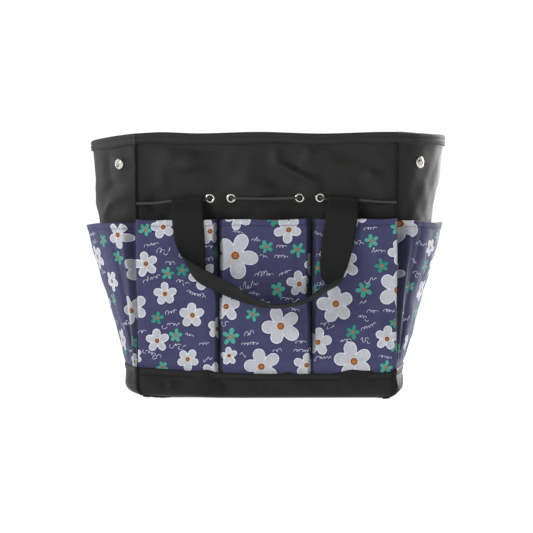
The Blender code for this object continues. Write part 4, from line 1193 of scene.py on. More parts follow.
def make_flat_pocket(tag, side, pos, x0, x1, end0, end1, seed, source=None):
    """side -1 front, +1 back; x grows to the right as seen from outside."""
    name = f"{tag}_pocket_{pos}"
    top = POCKET_Z1 + RISE
    zs = np.r_[np.linspace(0.0215, 0.034, 12), np.linspace(0.0355, top - HEM - 0.0012, 104), top - HEM + np.array([-0.0005, 0.0, 0.0005, 0.0010, 0.0016, 0.0028, 0.0040, 0.0050, 0.0057, HEM])]
    cols_face, cols_side, cols_round = 76, 12, 6
    rows_p, flat_rows, painted_shade_rows = [], [], []
    W0 = (x0 + x1) / 2
    for z in zs:
        tz = (z - POCKET_Z0) / (top - POCKET_Z0)
        d = float(pocket_depth(z))
        corner = half_w(z)
        v = 0.0029 + 0.0018 * max(0, tz)
        wob0 = 0.0007 * math.sin(z * 70 + seed) + 0.0004 * math.sin(z * 151 + 2 * seed)
        wob1 = 0.0007 * math.sin(z * 64 + 2 + seed) + 0.0004 * math.sin(z * 143 + seed)
        f0 = -(corner + 0.0004) if end0 else x0 + 0.0005
        f1 = (corner + 0.0004) if end1 else x1 - 0.0005
        a0 = -(corner + 0.0001) + 0.0004 * math.sin(z * 60 + seed) if end0 else x0 + v + wob0
        a1 = (corner + 0.0001) - 0.0004 * math.sin(z * 60 + seed) if end1 else x1 - v - wob1
        r = min(0.0022, 0.34 * d)
        base = 0.0004
        # pleat_shade holds painted shade: deep on the pleat walls, fading over the rounded edges, none on the face
        pts, pleat_shade = [], []
        for k in range(cols_side):
            t = k / cols_side
            pts.append((f0 + (a0 - f0) * t - (0 if end0 else 0.0011 * math.sin(PI * t)), base + (d - r - base) * t))
            pleat_shade.append(0.52 + 0.36 * (1 - t))
        for k in range(cols_round + 1):
            w = PI / 2 * k / cols_round
            pts.append((a0 + r * (1 - math.cos(w)), d - r + r * math.sin(w)))
            pleat_shade.append(0.45 * max(0.0, 1 - 1.5 * k / cols_round))
        for k in range(1, cols_face):
            t = k / cols_face
            pts.append((a0 + r + (a1 - a0 - 2 * r) * t, d))
            pleat_shade.append(0.0)
        for k in range(cols_round + 1):
            w = PI / 2 * (1 - k / cols_round)
            pts.append((a1 - r * (1 - math.cos(w)), d - r + r * math.sin(w)))
            pleat_shade.append(0.45 * max(0.0, 1 - 1.5 * (1 - k / cols_round)))
        for k in range(cols_side - 1, -1, -1):
            t = k / cols_side
            pts.append((f1 - (f1 - a1) * t + (0 if end1 else 0.0011 * math.sin(PI * t)), base + (d - r - base) * t))
            pleat_shade.append(0.52 + 0.36 * (1 - t))
        pts = np.array(pts)
        rows_p.append(pts)
        painted_shade_rows.append(pleat_shade)
        s = np.r_[0, np.cumsum(np.hypot(*np.diff(pts, axis=0).T))]
        inner = slice(cols_side + 3, len(pts) - cols_side - 3)
        mid = np.interp(W0, pts[inner, 0], s[inner])
        flat_rows.append(s - mid + W0)
    G = np.array(rows_p)
    U = np.array(flat_rows) * 1000
    painted_shade = np.array(painted_shade_rows)
    Z = np.repeat(zs[:, None], G.shape[1], 1)
    X, O = G[..., 0], G[..., 1].copy()
    u, v = U, Z * 1000
    L0, R0 = x0 * 1000, x1 * 1000
    face = smooth(1.5, 10, u - L0) * smooth(1.5, 10, R0 - u)
    span = np.clip((X - x0) / (x1 - x0), 0, 1)
    tz = np.clip((Z - POCKET_Z0) / (top - POCKET_Z0), 0, 1)
    belly = 0.0014 * np.sin(PI * span) * np.sin(PI * tz ** 1.2)
    soft = 0.00080 * ripple(u, v, seed * 7 + 3, ((70, 1.0), (36, 0.6), (19, 0.3)))
    # soft tension folds from the lower corners and from the hem's ends
    folds = (ridge(u, v, [(L0 + 5, 38), (L0 + 16, 58), (L0 + 24, 84)], 5.0, 0.0013) + ridge(u, v, [(R0 - 5, 38), (R0 - 14, 62), (R0 - 19, 92)], 5.0, 0.0012)
             - ridge(u, v, [(L0 + 10, 176), (L0 + 18, 150), (L0 + 16, 120)], 6.0, 0.0013) + ridge(u, v, [(R0 - 12, 174), (R0 - 20, 148), (R0 - 15, 118)], 6.5, 0.0011)
             - ridge(u, v, [((L0 + R0) / 2 - 14, 34), ((L0 + R0) / 2 - 4, 50), ((L0 + R0) / 2 + 12, 60)], 6.0, 0.0009))
    O = O + (belly + soft + folds) * face * smooth(0.032, 0.055, Z)
    hem_z = top - HEM
    hem = smooth(hem_z - 0.0004, hem_z + 0.0006, Z)
    lip = 0.00045 * hem * (1 - 0.5 * smooth(top - 0.0012, top, Z)) - 0.00040 * np.exp(-((Z - (hem_z + 0.0004)) / 0.0006) ** 2)
    O = O + lip * (0.3 + 0.7 * face)
    mouth = 0.0010 * np.sin(2 * PI * span + seed) * smooth(0.15, 1, tz)
    dip = (-0.0009 * np.sin(PI * span) + 0.0004 * np.sin(3 * PI * span + seed)) * smooth(0.7, 1, tz)
    # the foot is caught under the band's upper edge
    bt = band_height(side, X if side < 0 else -X)
    rise = smooth(-0.0005, 0.0125, Z - bt)
    O = 0.0009 + (O - 0.0009) * rise ** 0.8 + mouth * 0.5
    O = np.maximum(O, 0.0006)
    # more painted shade where the foot goes under the band and just under the hem
    painted_shade = painted_shade + 0.22 * (1 - smooth(0.0005, 0.0060, Z - bt)) + 0.18 * np.exp(-((Z - (hem_z + 0.0002)) / 0.0009) ** 2)
    lean = math.atan(0.006 / H)
    y = half_d(Z) + O * math.cos(lean)
    z3 = Z + dip + O * math.sin(lean)
    P = np.stack([X, -y, z3], -1) if side < 0 else np.stack([-X, y, z3], -1)
    F = np.stack([U, v], -1)
    pr = Print(seed)
    for (fu, fv, r, a) in DAISIES[source or pos]:
        pr.daisy(fu, fv, r, a)
    for (fu, fv, r, a) in BLOSSOMS[source or pos]:
        pr.blossom(fu, fv, r, a)
    pr.fill_marks(x0 * 1000 - 1, x1 * 1000 + 1, 33, 180, 19)
    ex = pr.attributes(F)
    ex["painted_shade"] = np.clip(painted_shade, 0, 0.92)
    obj = sheet_solid(name + "_cloth", P, 0.0010, PRINT, F, ex)
    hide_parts(name)
    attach(obj, "bag")
    ink_lines(name + "_ink", pr.strokes(), P, F, 1)
    n = grid_normals(P, False)
    hem_row = int(np.argmin(np.abs(zs - (hem_z + 0.0004))))
    j0, j1 = cols_side + 3, P.shape[1] - cols_side - 3
    return [(P[hem_row, j0:j1] + n[hem_row, j0:j1] * 0.00012, n[hem_row, j0:j1])]


hem_rows = []
for tag, side in (("front", -1), ("back", 1)):
    for pos, a, b, e0, e1, seed in (("left", -0.1345, -0.0495, True, False, 3), ("centre", -0.0495, 0.0460, False, False, 5), ("right", 0.0460, 0.1345, False, True, 9)):
        if side < 0:
            hem_rows += make_flat_pocket(tag, side, pos, a, b, e0, e1, seed)
        else:
            # the pocket named left is the one at -X, which is on the right as seen from behind
            own = {"left": "right", "centre": "centre", "right": "left"}[pos]
            lo, hi = {"left": (0.0460, 0.1345), "centre": (-0.0495, 0.0460), "right": (-0.1345, -0.0495)}[pos]
            hem_rows += make_flat_pocket(tag, side, pos, lo, hi, e1, e0, seed + 20, source=own)


# ------------------------------------------------------------------ side pockets
def make_side_pocket(name, side, spots, seed):
    zt = POCKET_Z1 - 0.0012
    zs = np.r_[np.linspace(0.0250, 0.034, 8), np.linspace(0.0355, zt - HEM - 0.0012, 100), zt - HEM + np.array([-0.0005, 0.0, 0.0005, 0.0010, 0.0016, 0.0028, 0.0040, 0.0050, 0.0057, HEM])]
    ncol = 176
    qs = np.linspace(-1, 1, ncol)
    s_lin = np.sign(qs) * (np.abs(qs) ** 0.90)
    P = np.zeros((len(zs), ncol, 3))
    U = np.zeros((len(zs), ncol))
    painted_dark = np.zeros((len(zs), ncol))
    for i, z in enumerate(zs):
        yg = half_d(z) - 0.0002
        s = s_lin
        x, y = gusset_xy(side, s, np.full(ncol, z), 0.0, yg)
        arc = np.r_[0, np.cumsum(np.hypot(np.diff(x), np.diff(y)))]
        dist = np.minimum(arc, arc[-1] - arc) * 1000        # mm from the nearer seam
        sgn = np.where(arc < arc[-1] / 2, -1, 1)
        d = float(through(SIDE_AT, z)) * 1000 + (0.4 if side < 0 else -0.6) * min(1.0, max(0.0, (z - 0.03) / 0.10))
        tz = max(0.0, (z - POCKET_Z0) / (zt - POCKET_Z0))
        zz_ = np.full(ncol, z * 1000)
        mid = (arc - arc[-1] / 2) * 1000
        # the cloth lies against the gusset by the seam, turns out in a pleat and then swells
        fold = 5.5 + 3.0 * tz
        t = np.clip((dist - 2.0) / (fold + 5.0), 0, 1)
        prof = d * (1 - (1 - t) ** 2.1)
        prof = prof + (0.6 + 1.9 * tz) * np.exp(-((dist - fold) / 2.6) ** 2) - (0.3 + 1.2 * tz) * np.exp(-((dist - fold - 6.5) / 3.0) ** 2)
        prof = prof * smooth(0.2, 3.2, dist)
        wr = 0.55 * ripple(mid, zz_, seed, ((70, 1.0), (36, 0.6), (20, 0.35)))
        groove = ridge(dist, zz_, [(25, 176), (21, 130), (17, 85), (10, 38)], 4.0, 1.0)
        swell = ridge(dist, zz_, [(37, 170), (34, 120), (30, 80), (24, 44)], 7.0, 1.0)
        sharp = ridge(dist, zz_, [(20, 84), (15, 60), (8, 36)], 1.6, 1.0) + 0.8 * ridge(dist, zz_, [(34, 66), (25, 48), (20, 36)], 1.5, 1.0)
        off = prof + (wr * 1.0 - 2.2 * groove + 0.9 * swell - 1.6 * sharp) * smooth(3, 10, dist) * float(smooth(0.027, 0.042, z))
        # the mouth sags between its ends
        off = off - 0.9 * float(smooth(zt - 0.030, zt, z)) * smooth(8, 30, dist)
        hem = float(smooth(zt - HEM - 0.0004, zt - HEM + 0.0006, z))
        off = off + (0.45 * hem - 0.40 * math.exp(-((z - (zt - HEM + 0.0004)) / 0.0006) ** 2)) * smooth(2, 7, dist)
        bt = 0.0322
        rise = float(smooth(-0.0010, 0.0110, z - bt))
        off = 0.9 + (off - 0.9) * rise
        off = np.maximum(off, 0.75)
        x, y = gusset_xy(side, s, np.full(ncol, z), off * MM, yg)
        zz = z - 0.0016 * float(smooth(0.12, zt, z)) * np.cos(PI * qs / 2) + 0.0006 * float(smooth(0.15, zt, z)) * np.sin(qs * 7 + side)
        P[i] = np.stack([x, y, zz], -1)
        P[i, :, 0] -= 0.0014 * (1 - smooth(0.020, 0.085, z))      # it keeps to the band, which round_base shifts
        U[i] = mid
        # painted shade: dark by the seam in the lee of the front pocket's end, in the groove and the sharp creases, at
        # the seam's edge, under the hem and where the foot goes under the band
        depth_ = 0.74 if side > 0 else 0.62
        up_fade = float(smooth(0.180, 0.158, z)) * 0.70 + 0.30 if side > 0 else float(smooth(0.178, 0.150, z)) * 0.75 + 0.25
        painted_dark[i] = depth_ * up_fade * np.exp(-(dist / (7.5 + 3.5 * tz)) ** 3) + 0.42 * groove + 0.55 * sharp + 0.25 * np.exp(-(dist / 1.2) ** 2) \
            + 0.18 * math.exp(-((z - (zt - HEM + 0.0002)) / 0.0009) ** 2) + 0.15 * (1 - float(smooth(0.0005, 0.006, z - bt)))
    F = np.stack([U, np.repeat(zs[:, None] * 1000, ncol, 1)], -1)
    pr = Print(seed)
    for mirror in (-1, 1):
        for (dd, v, r, a) in spots[0]:
            if mirror == 1 and dd > 62:
                continue
            h = -np.interp(v * MM, zs, U[:, 0])
            pr.daisy(mirror * (h - dd), v if mirror < 0 else v - 4, r, a if mirror < 0 else a + 25)
        for (dd, v, r, a) in spots[1]:
            h = -np.interp(v * MM, zs, U[:, 0])
            pr.blossom(mirror * (h - dd), v if mirror < 0 else v + 3, r, a)
    pr.fill_marks(-74, 74, 38, 176, 20)
    ex = pr.attributes(F)
    ex["painted_shade"] = np.clip(painted_dark, 0, 0.92)
    obj = sheet_solid(name + "_cloth", P, 0.0010, PRINT, F, ex, flip=side < 0)
    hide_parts(name)
    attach(obj, "bag")
    sg = 1 if side > 0 else -1
    keep = []
    for st in pr.strokes():
        lim = np.interp(st[:, 1] * MM, zs, U[:, -1]) - 3
        if (np.abs(st[:, 0]) < lim).all():
            keep.append(st)
    ink_lines(name + "_ink", keep, P, F, sg)
    n = grid_normals(P, False) * sg
    hr = int(np.argmin(np.abs(zs - (zt - HEM + 0.0004))))
    return [(P[hr, 5:-5] + n[hr, 5:-5] * 0.00012, n[hr, 5:-5])]


hem_rows += make_side_pocket("side_pocket_left", -1, SIDE_LEFT, 41)
hem_rows += make_side_pocket("side_pocket_right", 1, SIDE_RIGHT, 43)
stitches("pocket_stitching", hem_rows, THREAD_LIT, length=1.9, gap=0.8, radius=0.24)


# ------------------------------------------------------------------ handles
LEAN = math.atan(0.006 / H)
AXIS_Y = half_d(CORD_Z) + CORD_OFF * math.cos(LEAN)
AXIS_Z = CORD_Z + CORD_OFF * math.sin(LEAN)


def face_y(z):
    """How far out the hanging strap's back edge lies at height z."""
    return half_d(z) + pocket_depth(z) + 0.0019


# hanging loop: outer edge, middle and inner edge of the webbing, (x, y, z) in mm
LOOP = [
    [(-97.0, -87.4, 191.1), (-80.9, -87.2, 191.6), (-64.7, -87.4, 192.0)],
    [(-95.9, -89.6, 177.8), (-80.0, -88.8, 177.7), (-63.7, -88.4, 178.1)],
    [(-93.8, -93.8, 164.4), (-78.8, -90.7, 163.4), (-62.8, -89.1, 163.8)],
    [(-90.4, -98.7, 155.3), (-78.0, -92.9, 151.1), (-62.5, -89.4, 151.5)],
    [(-84.5, -104.2, 147.1), (-78.1, -96.3, 140.1), (-62.3, -90.2, 140.7)],
    [(-76.6, -108.2, 142.7), (-76.6, -99.2, 131.7), (-61.9, -90.8, 131.5)],
    [(-68.6, -111.2, 138.2), (-72.4, -101.4, 125.0), (-60.5, -91.2, 123.8)],
    [(-60.4, -113.1, 133.8), (-65.0, -102.3, 120.3), (-57.7, -91.1, 117.0)],
    [(-52.3, -114.0, 129.6), (-54.8, -102.7, 118.5), (-51.1, -90.5, 111.6)],
    [(-42.1, -114.9, 123.8), (-42.3, -102.9, 114.8), (-41.4, -89.8, 106.6)],
    [(-30.0, -115.8, 116.9), (-29.4, -102.7, 109.5), (-28.7, -88.7, 101.8)],
    [(-17.9, -116.7, 109.8), (-16.7, -102.6, 103.7), (-15.9, -87.5, 97.4)],
    [(-5.8, -117.0, 102.9), (-4.2, -102.5, 98.7), (-3.1, -86.9, 94.6)],
    [(8.3, -117.4, 98.7), (9.0, -102.9, 96.1), (9.7, -86.4, 93.3)],
    [(22.4, -117.4, 99.2), (22.2, -103.0, 96.8), (22.0, -86.4, 94.5)],
    [(34.0, -117.0, 102.0), (33.9, -102.0, 99.4), (33.3, -86.5, 96.9)],
    [(43.1, -116.6, 105.9), (42.9, -102.1, 103.0), (42.0, -87.1, 100.0)],
    [(50.1, -116.2, 111.3), (50.2, -102.2, 106.8), (49.7, -87.6, 102.7)],
    [(56.2, -115.8, 115.1), (57.8, -102.3, 110.9), (55.9, -88.8, 107.2)],
    [(62.3, -114.3, 118.6), (65.5, -101.8, 114.3), (60.5, -89.9, 112.5)],
    [(68.9, -112.3, 122.5), (72.9, -100.4, 117.9), (62.1, -90.6, 116.6)],
    [(75.0, -108.8, 125.8), (76.2, -97.9, 122.6), (59.0, -90.7, 120.7)],
    [(79.6, -104.8, 129.9), (74.3, -95.5, 130.4), (56.0, -90.3, 125.9)],
    [(83.1, -99.8, 136.6), (72.8, -93.2, 139.3), (54.9, -89.5, 136.1)],
    [(86.8, -94.9, 148.7), (72.4, -91.1, 151.6), (55.7, -89.0, 149.9)],
    [(90.2, -91.8, 162.5), (73.7, -89.7, 164.1), (57.1, -88.7, 163.7)],
    [(92.6, -89.4, 176.8), (75.8, -88.6, 177.4), (59.2, -88.4, 177.0)],
    [(94.0, -87.4, 190.1), (77.5, -87.2, 190.7), (61.3, -87.4, 190.8)],
]


def catmull(K, n):
    """K (m, ...) control values, n samples along them."""
    K = np.asarray(K, float)
    t = np.linspace(0, len(K) - 1, n)
    i = np.minimum(t.astype(int), len(K) - 2)
    u = (t - i).reshape((-1,) + (1,) * (K.ndim - 1))
    p0, p1, p2, p3 = (K[np.clip(i + o, 0, len(K) - 1)] for o in (-1, 0, 1, 2))
    return 0.5 * (2 * p1 + (p2 - p0) * u + (2 * p0 - 5 * p1 + 4 * p2 - p3) * u * u + (3 * p1 - p0 - 3 * p2 + p3) * u ** 3)


def strap_middle_surface():
    """(n, across, 3): the strap's middle surface from over the left fold to over the right one; column 0 is the loop's outer edge."""
    nx = 13
    K = np.array(LOOP) * MM
    S = catmull(K, 170)
    w = np.linspace(0, 1, nx)
    # quadratic through the three points of each station
    q0, q1, q2 = 2 * (w - 0.5) * (w - 1), -4 * w * (w - 1), 2 * w * (w - 0.5)
    M = S[:, 0, None] * q0[None, :, None] + S[:, 1, None] * q1[None, :, None] + S[:, 2, None] * q2[None, :, None]

    def fold(xc, outer):
        out = []
        for k in range(19):
            a = math.radians(34 + (180 - 34) * k / 18)
            y = -AXIS_Y + FOLD_R * math.cos(a)
            z = AXIS_Z + FOLD_R * math.sin(a)
            tilt = 0.13 if outer < 0 else -0.07      # the webbing lies a little askew over the cord
            out.append([(xc + outer * STRAP_W * (0.5 - t), y, z + tilt * outer * STRAP_W * (0.5 - t)) for t in w])
        return np.array(out)

    A, B = fold(STRAP_X[0], -1), fold(STRAP_X[1], 1)[::-1]

    def bridge(p, q, n, lead):
        """Rows between row p (fold end, heading down) and row q."""
        out = []
        for k in range(1, n):
            t = k / n
            h00, h10, h01, h11 = 2 * t ** 3 - 3 * t ** 2 + 1, t ** 3 - 2 * t ** 2 + t, -2 * t ** 3 + 3 * t ** 2, t ** 3 - t ** 2
            m0 = np.array([0, -0.0030, -0.0085])
            m1 = lead * n
            out.append(p * h00 + m0 * h10 + q * h01 + m1 * h11)
        return np.array(out)

    la = (M[2] - M[0]) / 2
    lb = (M[-3] - M[-1]) / 2
    first = bridge(A[-1], M[0], 9, la)
    last = bridge(B[0], M[-1], 9, lb)[::-1]
    G = np.concatenate([A, first, M, last, B])
    # even the rows out a little
    for _ in range(10):
        T = G.copy()
        T[21:-21] = 0.25 * G[20:-22] + 0.5 * G[21:-21] + 0.25 * G[22:-20]
        G = T
    return G


def make_strap(name, node, body, turn):
    G = strap_middle_surface()
    n = grid_normals(G, False)
    nx = G.shape[1]
    # rounded selvedges: thickness tapers at both edges
    w = np.linspace(-1, 1, nx)
    half = STRAP_T / 2 * np.sqrt(np.maximum(0.10, 1 - np.abs(w) ** 10))
    A = G + n * half[None, :, None]
    Bk = G - n * half[None, :, None]
    rows = G.shape[0]
    ring = np.concatenate([A, Bk[:, ::-1]], 1)
    if turn:
        ring = ring * np.array([-1, -1, 1])
    k = ring.shape[1]
    idx = np.arange(rows * k).reshape(rows, k)
    kk = np.arange(k)
    faces = np.stack([idx[:-1][:, kk], idx[:-1][:, (kk + 1) % k], idx[1:][:, (kk + 1) % k], idx[1:][:, kk]], -1).reshape(-1, 4).tolist()
    faces += [idx[0, ::-1].tolist(), idx[-1].tolist()]
    obj = new_object(name, ring.reshape(-1, 3), faces, WEB)
    s = np.r_[0, np.cumsum(np.linalg.norm(np.diff(G[:, nx // 2], axis=0), axis=1))] * 1000
    across = np.r_[(w + 1) * 16, (w[::-1] + 1) * 16]
    fab = np.stack([np.repeat(s[:, None], k, 1), np.repeat(across[None], rows, 0)], -1).reshape(-1, 2)
    put(obj.data, "fab", np.column_stack([fab, np.zeros(len(fab))]))
    put_uv(obj.data, fab * 0.01)
    fix_outward(obj)
    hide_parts(node)
    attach(obj, body)
    return G, n, s[-1]


G, Gn, strap_len = make_strap("front_handle_webbing", "front_handle_strap", "front_handle", False)
make_strap("back_handle_webbing", "back_handle_strap", "back_handle", True)

# sewn ends on the panels, with a box of stitches
tab_rows = []
for tag, side in (("front", -1), ("back", 1)):
    for hand in ("left", "right"):
        node = f"{tag}_handle_tab_{hand}"
        lo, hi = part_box(node)
        xc = (lo[0] + hi[0]) / 2
        z0, z1 = lo[2], hi[2]
        nz, nxx = 24, 15
        zz = np.linspace(z0, z1, nz)
        ww = np.linspace(-1, 1, nxx)
        X, Z = np.meshgrid(xc + ww * STRAP_W / 2 * 0.995, zz)
        th = 0.0014 * np.sqrt(np.maximum(0.12, 1 - np.abs(ww) ** 12))[None]
        end = 1 - 0.25 * (np.exp(-((zz - z1) / 0.001) ** 2))[:, None]
        base_off = 0.0003 + panel_relief(side, X, Z)
        O = base_off + th * end
        Y = side * (half_d(Z) + O)
        Pt = np.stack([X, Y, Z], -1)
        fabt = np.stack([Z * 1000, (X - xc) * 1000 + 16], -1)
        o = sheet_solid(node + "_webbing", Pt, 0.0012, WEB, fabt, flip=side > 0)
        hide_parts(node)
        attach(o, "bag")
        n_ = np.array([0, side, 0.0])

        def line(xa, za, xb, zb, node=node):
            t = np.linspace(0, 1, 12)
            x_, z_ = xa + (xb - xa) * t, za + (zb - za) * t
            y_ = side * (half_d(z_) + 0.0003 + panel_relief(side, x_, z_) + 0.0014 + 0.00005)
            return np.stack([x_, y_, z_], -1), np.tile(n_, (12, 1))

        a, b = xc - 0.0125, xc + 0.0125
        q0, q1 = z1 - 0.033, z1 - 0.006
        tab_rows += [line(a, q0, b, q0), line(b, q0, b, q1), line(b, q1, a, q1), line(a, q1, a, q0), line(a, q0, b, q1), line(b, q0, a, q1)]
stitches("handle_stitching", tab_rows, THREAD, length=2.3, gap=0.8, radius=0.3)


# ------------------------------------------------------------------ metalwork
def basis(n, up_hint=(0, 0, 1)):
    n = np.array(n, float); n /= np.linalg.norm(n)
    up = np.array(up_hint, float) - n * np.dot(up_hint, n)
    up /= np.linalg.norm(up)
    return np.stack([np.cross(up, n), up, n], 1)      # columns: across, up, out


def turned(name, profile, origin, B, material, steps=48):
    """Solid of revolution round the basis's third column; profile of (radius, height) in mm, closed if it never meets the axis."""
    prof = np.array(profile, float) * MM
    ang = np.linspace(0, 2 * PI, steps, endpoint=False)
    on_axis = prof[:, 0] < 1e-9
    verts, ids = [], []
    for (r, h), ax in zip(prof, on_axis):
        if ax:
            ids.append([len(verts)] * steps)
            verts.append((0, 0, h))
        else:
            ids.append(list(range(len(verts), len(verts) + steps)))
            verts += [(r * math.cos(a), r * math.sin(a), h) for a in ang]
    closed = not on_axis.any()
    pairs = [(i, i + 1) for i in range(len(prof) - 1)] + ([(len(prof) - 1, 0)] if closed else [])
    faces = []
    for i, j in pairs:
        for k in range(steps):
            m = (k + 1) % steps
            q = [ids[i][k], ids[i][m], ids[j][m], ids[j][k]]
            f = []
            for x in q:
                if x not in f:
                    f.append(x)
            if len(f) > 2:
                faces.append(f)
    V = np.array(verts) @ B.T + np.asarray(origin)
    obj = new_object(name, V, faces, material)
    fix_outward(obj)
    return obj


EYELET = [(2.45, -2.6), (3.0, -2.6), (3.0, 0.15), (4.55, 0.25), (4.78, 0.42), (4.80, 0.62), (4.66, 0.80), (4.35, 0.97), (3.90, 1.08), (3.45, 1.06), (3.05, 0.90), (2.75, 0.60), (2.55, 0.20), (2.45, -0.3)]
WASHER = [(3.35, -2.5), (3.6, -2.62), (4.8, -2.5), (5.1, -2.2), (5.1, -1.95), (3.35, -1.95)]
for tag, side in (("front", -1), ("back", 1)):
    for k, x in enumerate(EYELET_X, start=1):
        X = x if side < 0 else -x
        rel = float(panel_relief(side, np.array([X]), np.array([EYELET_Z]))[0])
        o = np.array([X, side * half_d(EYELET_Z), EYELET_Z]) + np.array([0, side * rel, 0])
        B = basis((0, side * math.cos(LEAN), math.sin(LEAN)))
        e = turned(f"{tag}_eyelet_ring_{k}", EYELET, o, B, NICKEL)
        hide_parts(f"{tag}_eyelet_{k}"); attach(e, "bag")
        w_ = turned(f"{tag}_eyelet_back_{k}", WASHER, o, B, NICKEL)
        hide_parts(f"{tag}_eyelet_washer_{k}"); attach(w_, "bag")

STUD = [(0, 0.9), (0.62, 0.9), (0.78, 3.3), (1.2, 3.75), (2.0, 3.85), (2.7, 3.6), (3.05, 3.1), (3.0, 2.5), (2.75, 1.9), (2.85, 1.45), (3.4, 1.25), (4.3, 1.30), (5.2, 1.25), (5.9, 1.0), (6.15, 0.7), (6.1, 0.35), (5.7, 0.1), (0, 0.1)]
SOCKET = [(0, 0.75), (2.6, 0.75), (3.05, 0.95), (3.2, 1.7), (3.5, 2.35), (4.0, 2.65), (4.6, 2.6), (5.1, 2.2), (5.5, 1.55), (5.95, 1.1), (6.15, 0.7), (6.1, 0.35), (5.7, 0.1), (0, 0.1)]
CAP = [(0, -1.85), (1.8, -1.85), (5.9, -1.9), (6.15, -2.1), (5.9, -2.5), (4.9, -2.85), (3.0, -3.05), (0, -3.1)]


def gusset_basis(side, s, z):
    def at(s_, z_):
        x, y = gusset_xy(side, np.array(s_), np.array(z_))
        return np.array([float(x), float(y), z_])
    p = at(s, z)
    n = np.cross(at(s + 0.01, z) - at(s - 0.01, z), at(s, z + 0.004) - at(s, z - 0.004))
    n /= np.linalg.norm(n)
    if n[0] * side < 0:
        n = -n
    half = 95.0
    rel = float(gusset_relief(side, np.array([s * half]), np.array([z * 1000]), half)[0])
    return p + n * rel, basis(n)


for tag, side, ss in (("left", -1, SNAP_S[0]), ("right", 1, SNAP_S[1])):
    for which, s in (("front", -ss), ("back", ss)):
        stud = (tag == "right") == (which == "front")
        kind = "stud" if stud else "socket"
        o, B = gusset_basis(side, s, SNAP_Z)
        e = turned(f"{tag}_press_{kind}", STUD if stud else SOCKET, o, B, NICKEL)
        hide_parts(f"{tag}_snap_{kind}"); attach(e, "bag")
        c = turned(f"{tag}_press_{kind}_cap", CAP, o, B, NICKEL)
        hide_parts(f"{tag}_snap_{kind}_cap"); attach(c, "bag")
        if not stud:
            # the two spring wires across the socket, bent like a pair of brackets
            wires, wf = [], []
            for sgn in (-1, 1):
                t = np.linspace(-1, 1, 17)
                cx_, cy_ = sgn * (1.25 + 0.55 * np.cos(t * PI)), 2.9 * t
                path = np.stack([cx_, cy_, np.full(17, 1.55)], -1) * MM
                tang = np.gradient(path, axis=0); tang /= np.linalg.norm(tang, axis=1, keepdims=True)
                zax = np.array([0, 0, 1.0]); sd = np.cross(tang, zax)
                base_i = len(wires)
                for i in range(17):
                    for k in range(8):
                        a = 2 * PI * k / 8
                        wires.append(path[i] + (sd[i] * math.cos(a) + zax * math.sin(a)) * 0.26 * MM)
                for i in range(16):
                    for k in range(8):
                        m_ = (k + 1) % 8
                        wf.append((base_i + i * 8 + k, base_i + i * 8 + m_, base_i + (i + 1) * 8 + m_, base_i + (i + 1) * 8 + k))
                wf.append(tuple(base_i + k for k in range(7, -1, -1)))
                wf.append(tuple(base_i + 16 * 8 + k for k in range(8)))
            wv = np.array(wires) @ B.T + o
            sp = new_object(f"{tag}_press_socket_springs", wv, wf, NICKEL)
            fix_outward(sp)
            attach(sp, "bag")


# ------------------------------------------------------------------ elastic cords
def cord_route(side):
    low, inn, r = CORD_R + 0.0009, -0.0046, 0.0030
    end = half_w(CORD_Z) - 0.0002
    path = [(-end, 0.2024, low - 0.0004), (-0.124, 0.2026, low), (-0.112, 0.2031, low + 0.0006), (STRAP_X[0] - 0.018, CORD_Z - 0.0005, CORD_OFF), (STRAP_X[0], CORD_Z, CORD_OFF), (STRAP_X[0] + 0.0150, CORD_Z + 0.0005, CORD_OFF - 0.0003)]

    def bend(x, a, b):
        sign = 1 if b > a else -1
        for k in range(5):
            t = PI / 2 * k / 4
            path.append((x - r + r * math.sin(t), EYELET_Z, a + sign * r * (1 - math.cos(t))))
        for k in range(5):
            t = PI / 2 * k / 4
            path.append((x + r - r * math.cos(t), EYELET_Z, b - sign * r * (1 - math.sin(t))))

    bend(EYELET_X[0], low, inn)
    bend(EYELET_X[1], inn, low)
    path.extend([(-0.018, EYELET_Z - 0.0006, low), (-0.001, EYELET_Z - 0.0009, low), (0.016, EYELET_Z - 0.0006, low)])
    bend(EYELET_X[2], low, inn)
    bend(EYELET_X[3], inn, low)
    path.extend([(STRAP_X[1] - 0.0150, CORD_Z + 0.0005, CORD_OFF - 0.0003), (STRAP_X[1], CORD_Z, CORD_OFF), (STRAP_X[1] + 0.018, CORD_Z - 0.0005, CORD_OFF), (0.112, 0.2031, low + 0.0006), (0.124, 0.2026, low), (end, 0.2024, low - 0.0004)])
    p = np.array(path)
    x = -side * p[:, 0]
    K = np.stack([x, side * (half_d(p[:, 1]) + p[:, 2] * math.cos(LEAN)), p[:, 1]], -1)
    # arc-length resampling through the points
    D = catmull(K, 900)
    s = np.r_[0, np.cumsum(np.linalg.norm(np.diff(D, axis=0), axis=1))]
    t = np.linspace(0, s[-1], 330)
    return np.stack([np.interp(t, s, D[:, c]) for c in range(3)], -1)


for tag, side in (("front", -1), ("back", 1)):
    path = cord_route(side)
    tg = np.gradient(path, axis=0)
    tg /= np.linalg.norm(tg, axis=1, keepdims=True)
    upv = np.tile([0, 0, 1.0], (len(path), 1))
    out = np.cross(tg, upv); out /= np.linalg.norm(out, axis=1, keepdims=True)
    upv = np.cross(out, tg)
    circ = np.array([(math.cos(2 * PI * k / 12), math.sin(2 * PI * k / 12)) for k in range(12)]) * 0.00125
    o = tube_along(f"{tag}_elastic", path, circ, ELASTIC, False, frames=np.stack([tg, out, upv], 1))
    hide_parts(f"{tag}_elastic_cord"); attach(o, "bag")


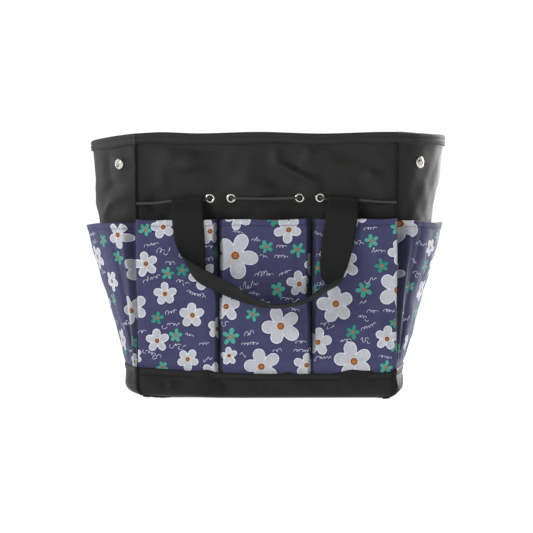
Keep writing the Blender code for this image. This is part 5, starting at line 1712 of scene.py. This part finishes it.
# ------------------------------------------------------------------ floor, light
def sweep():
    """A round white studio floor that curves up into a low wall far from the bag."""
    n, around = 16, 96
    line = [(0.0, -0.0010), (3.0, -0.0010), (9.5, -0.0010)]
    for k in range(1, n + 1):
        a = PI / 2 * k / n
        line.append((9.5 + 2.5 * math.sin(a), -0.0010 + 2.5 * (1 - math.cos(a))))
    line.append((12.0, 2.8))
    verts = [(0.0, 0.0, -0.0010)]
    for r, z in line[1:]:
        verts += [(r * math.cos(2 * PI * k / around), r * math.sin(2 * PI * k / around), z) for k in range(around)]
    faces = [(0, 1 + k, 1 + (k + 1) % around) for k in range(around)]
    for q in range(len(line) - 2):
        a, b = 1 + q * around, 1 + (q + 1) * around
        faces += [(a + k, b + k, b + (k + 1) % around, a + (k + 1) % around) for k in range(around)]
    g = Graph("white_sweep")
    g.bsdf.inputs["Base Color"].default_value = (0.30, 0.30, 0.30, 1)
    g.bsdf.inputs["Roughness"].default_value = 0.8
    g.bsdf.inputs["Specular IOR Level"].default_value = 0.0
    g.bsdf.inputs["Emission Color"].default_value = (1, 1, 1, 1)
    g.bsdf.inputs["Emission Strength"].default_value = 0.95
    o = new_object("sweep", verts, faces, g.mat)
    return o


sweep()
world = bpy.data.worlds.new("studio")
bpy.context.scene.world = world
world.use_nodes = True
world.node_tree.nodes["Background"].inputs[0].default_value = (1.0, 1.0, 1.0, 1)
world.node_tree.nodes["Background"].inputs[1].default_value = 0.10


def area(name, loc, aim, size, power, size_y=None):
    d = bpy.data.lights.new(name, "AREA")
    d.energy = power
    d.shape = "RECTANGLE"
    d.size = size
    d.size_y = size_y or size
    o = bpy.data.objects.new(name, d)
    bpy.context.scene.collection.objects.link(o)
    o.location = loc
    o.rotation_euler = (Vector(aim) - Vector(loc)).to_track_quat("-Z", "Y").to_euler()
    return o


area("key", (-1.0, -0.90, 0.90), (0, 0, 0.14), 0.55, 11.5)
area("fill", (0.9, -1.5, 1.1), (0, 0, 0.15), 0.8, 1.5)
area("edge_right", (0.80, 0.80, 0.55), (0.17, 0, 0.2), 0.4, 26.0, 1.0)
area("edge_left", (-1.2, 0.55, 0.6), (-0.17, 0, 0.2), 0.4, 4.0, 1.0)

view = bpy.context.scene.view_settings
view.view_transform = "Standard"
view.look = "None"

bpy.context.view_layer.update()
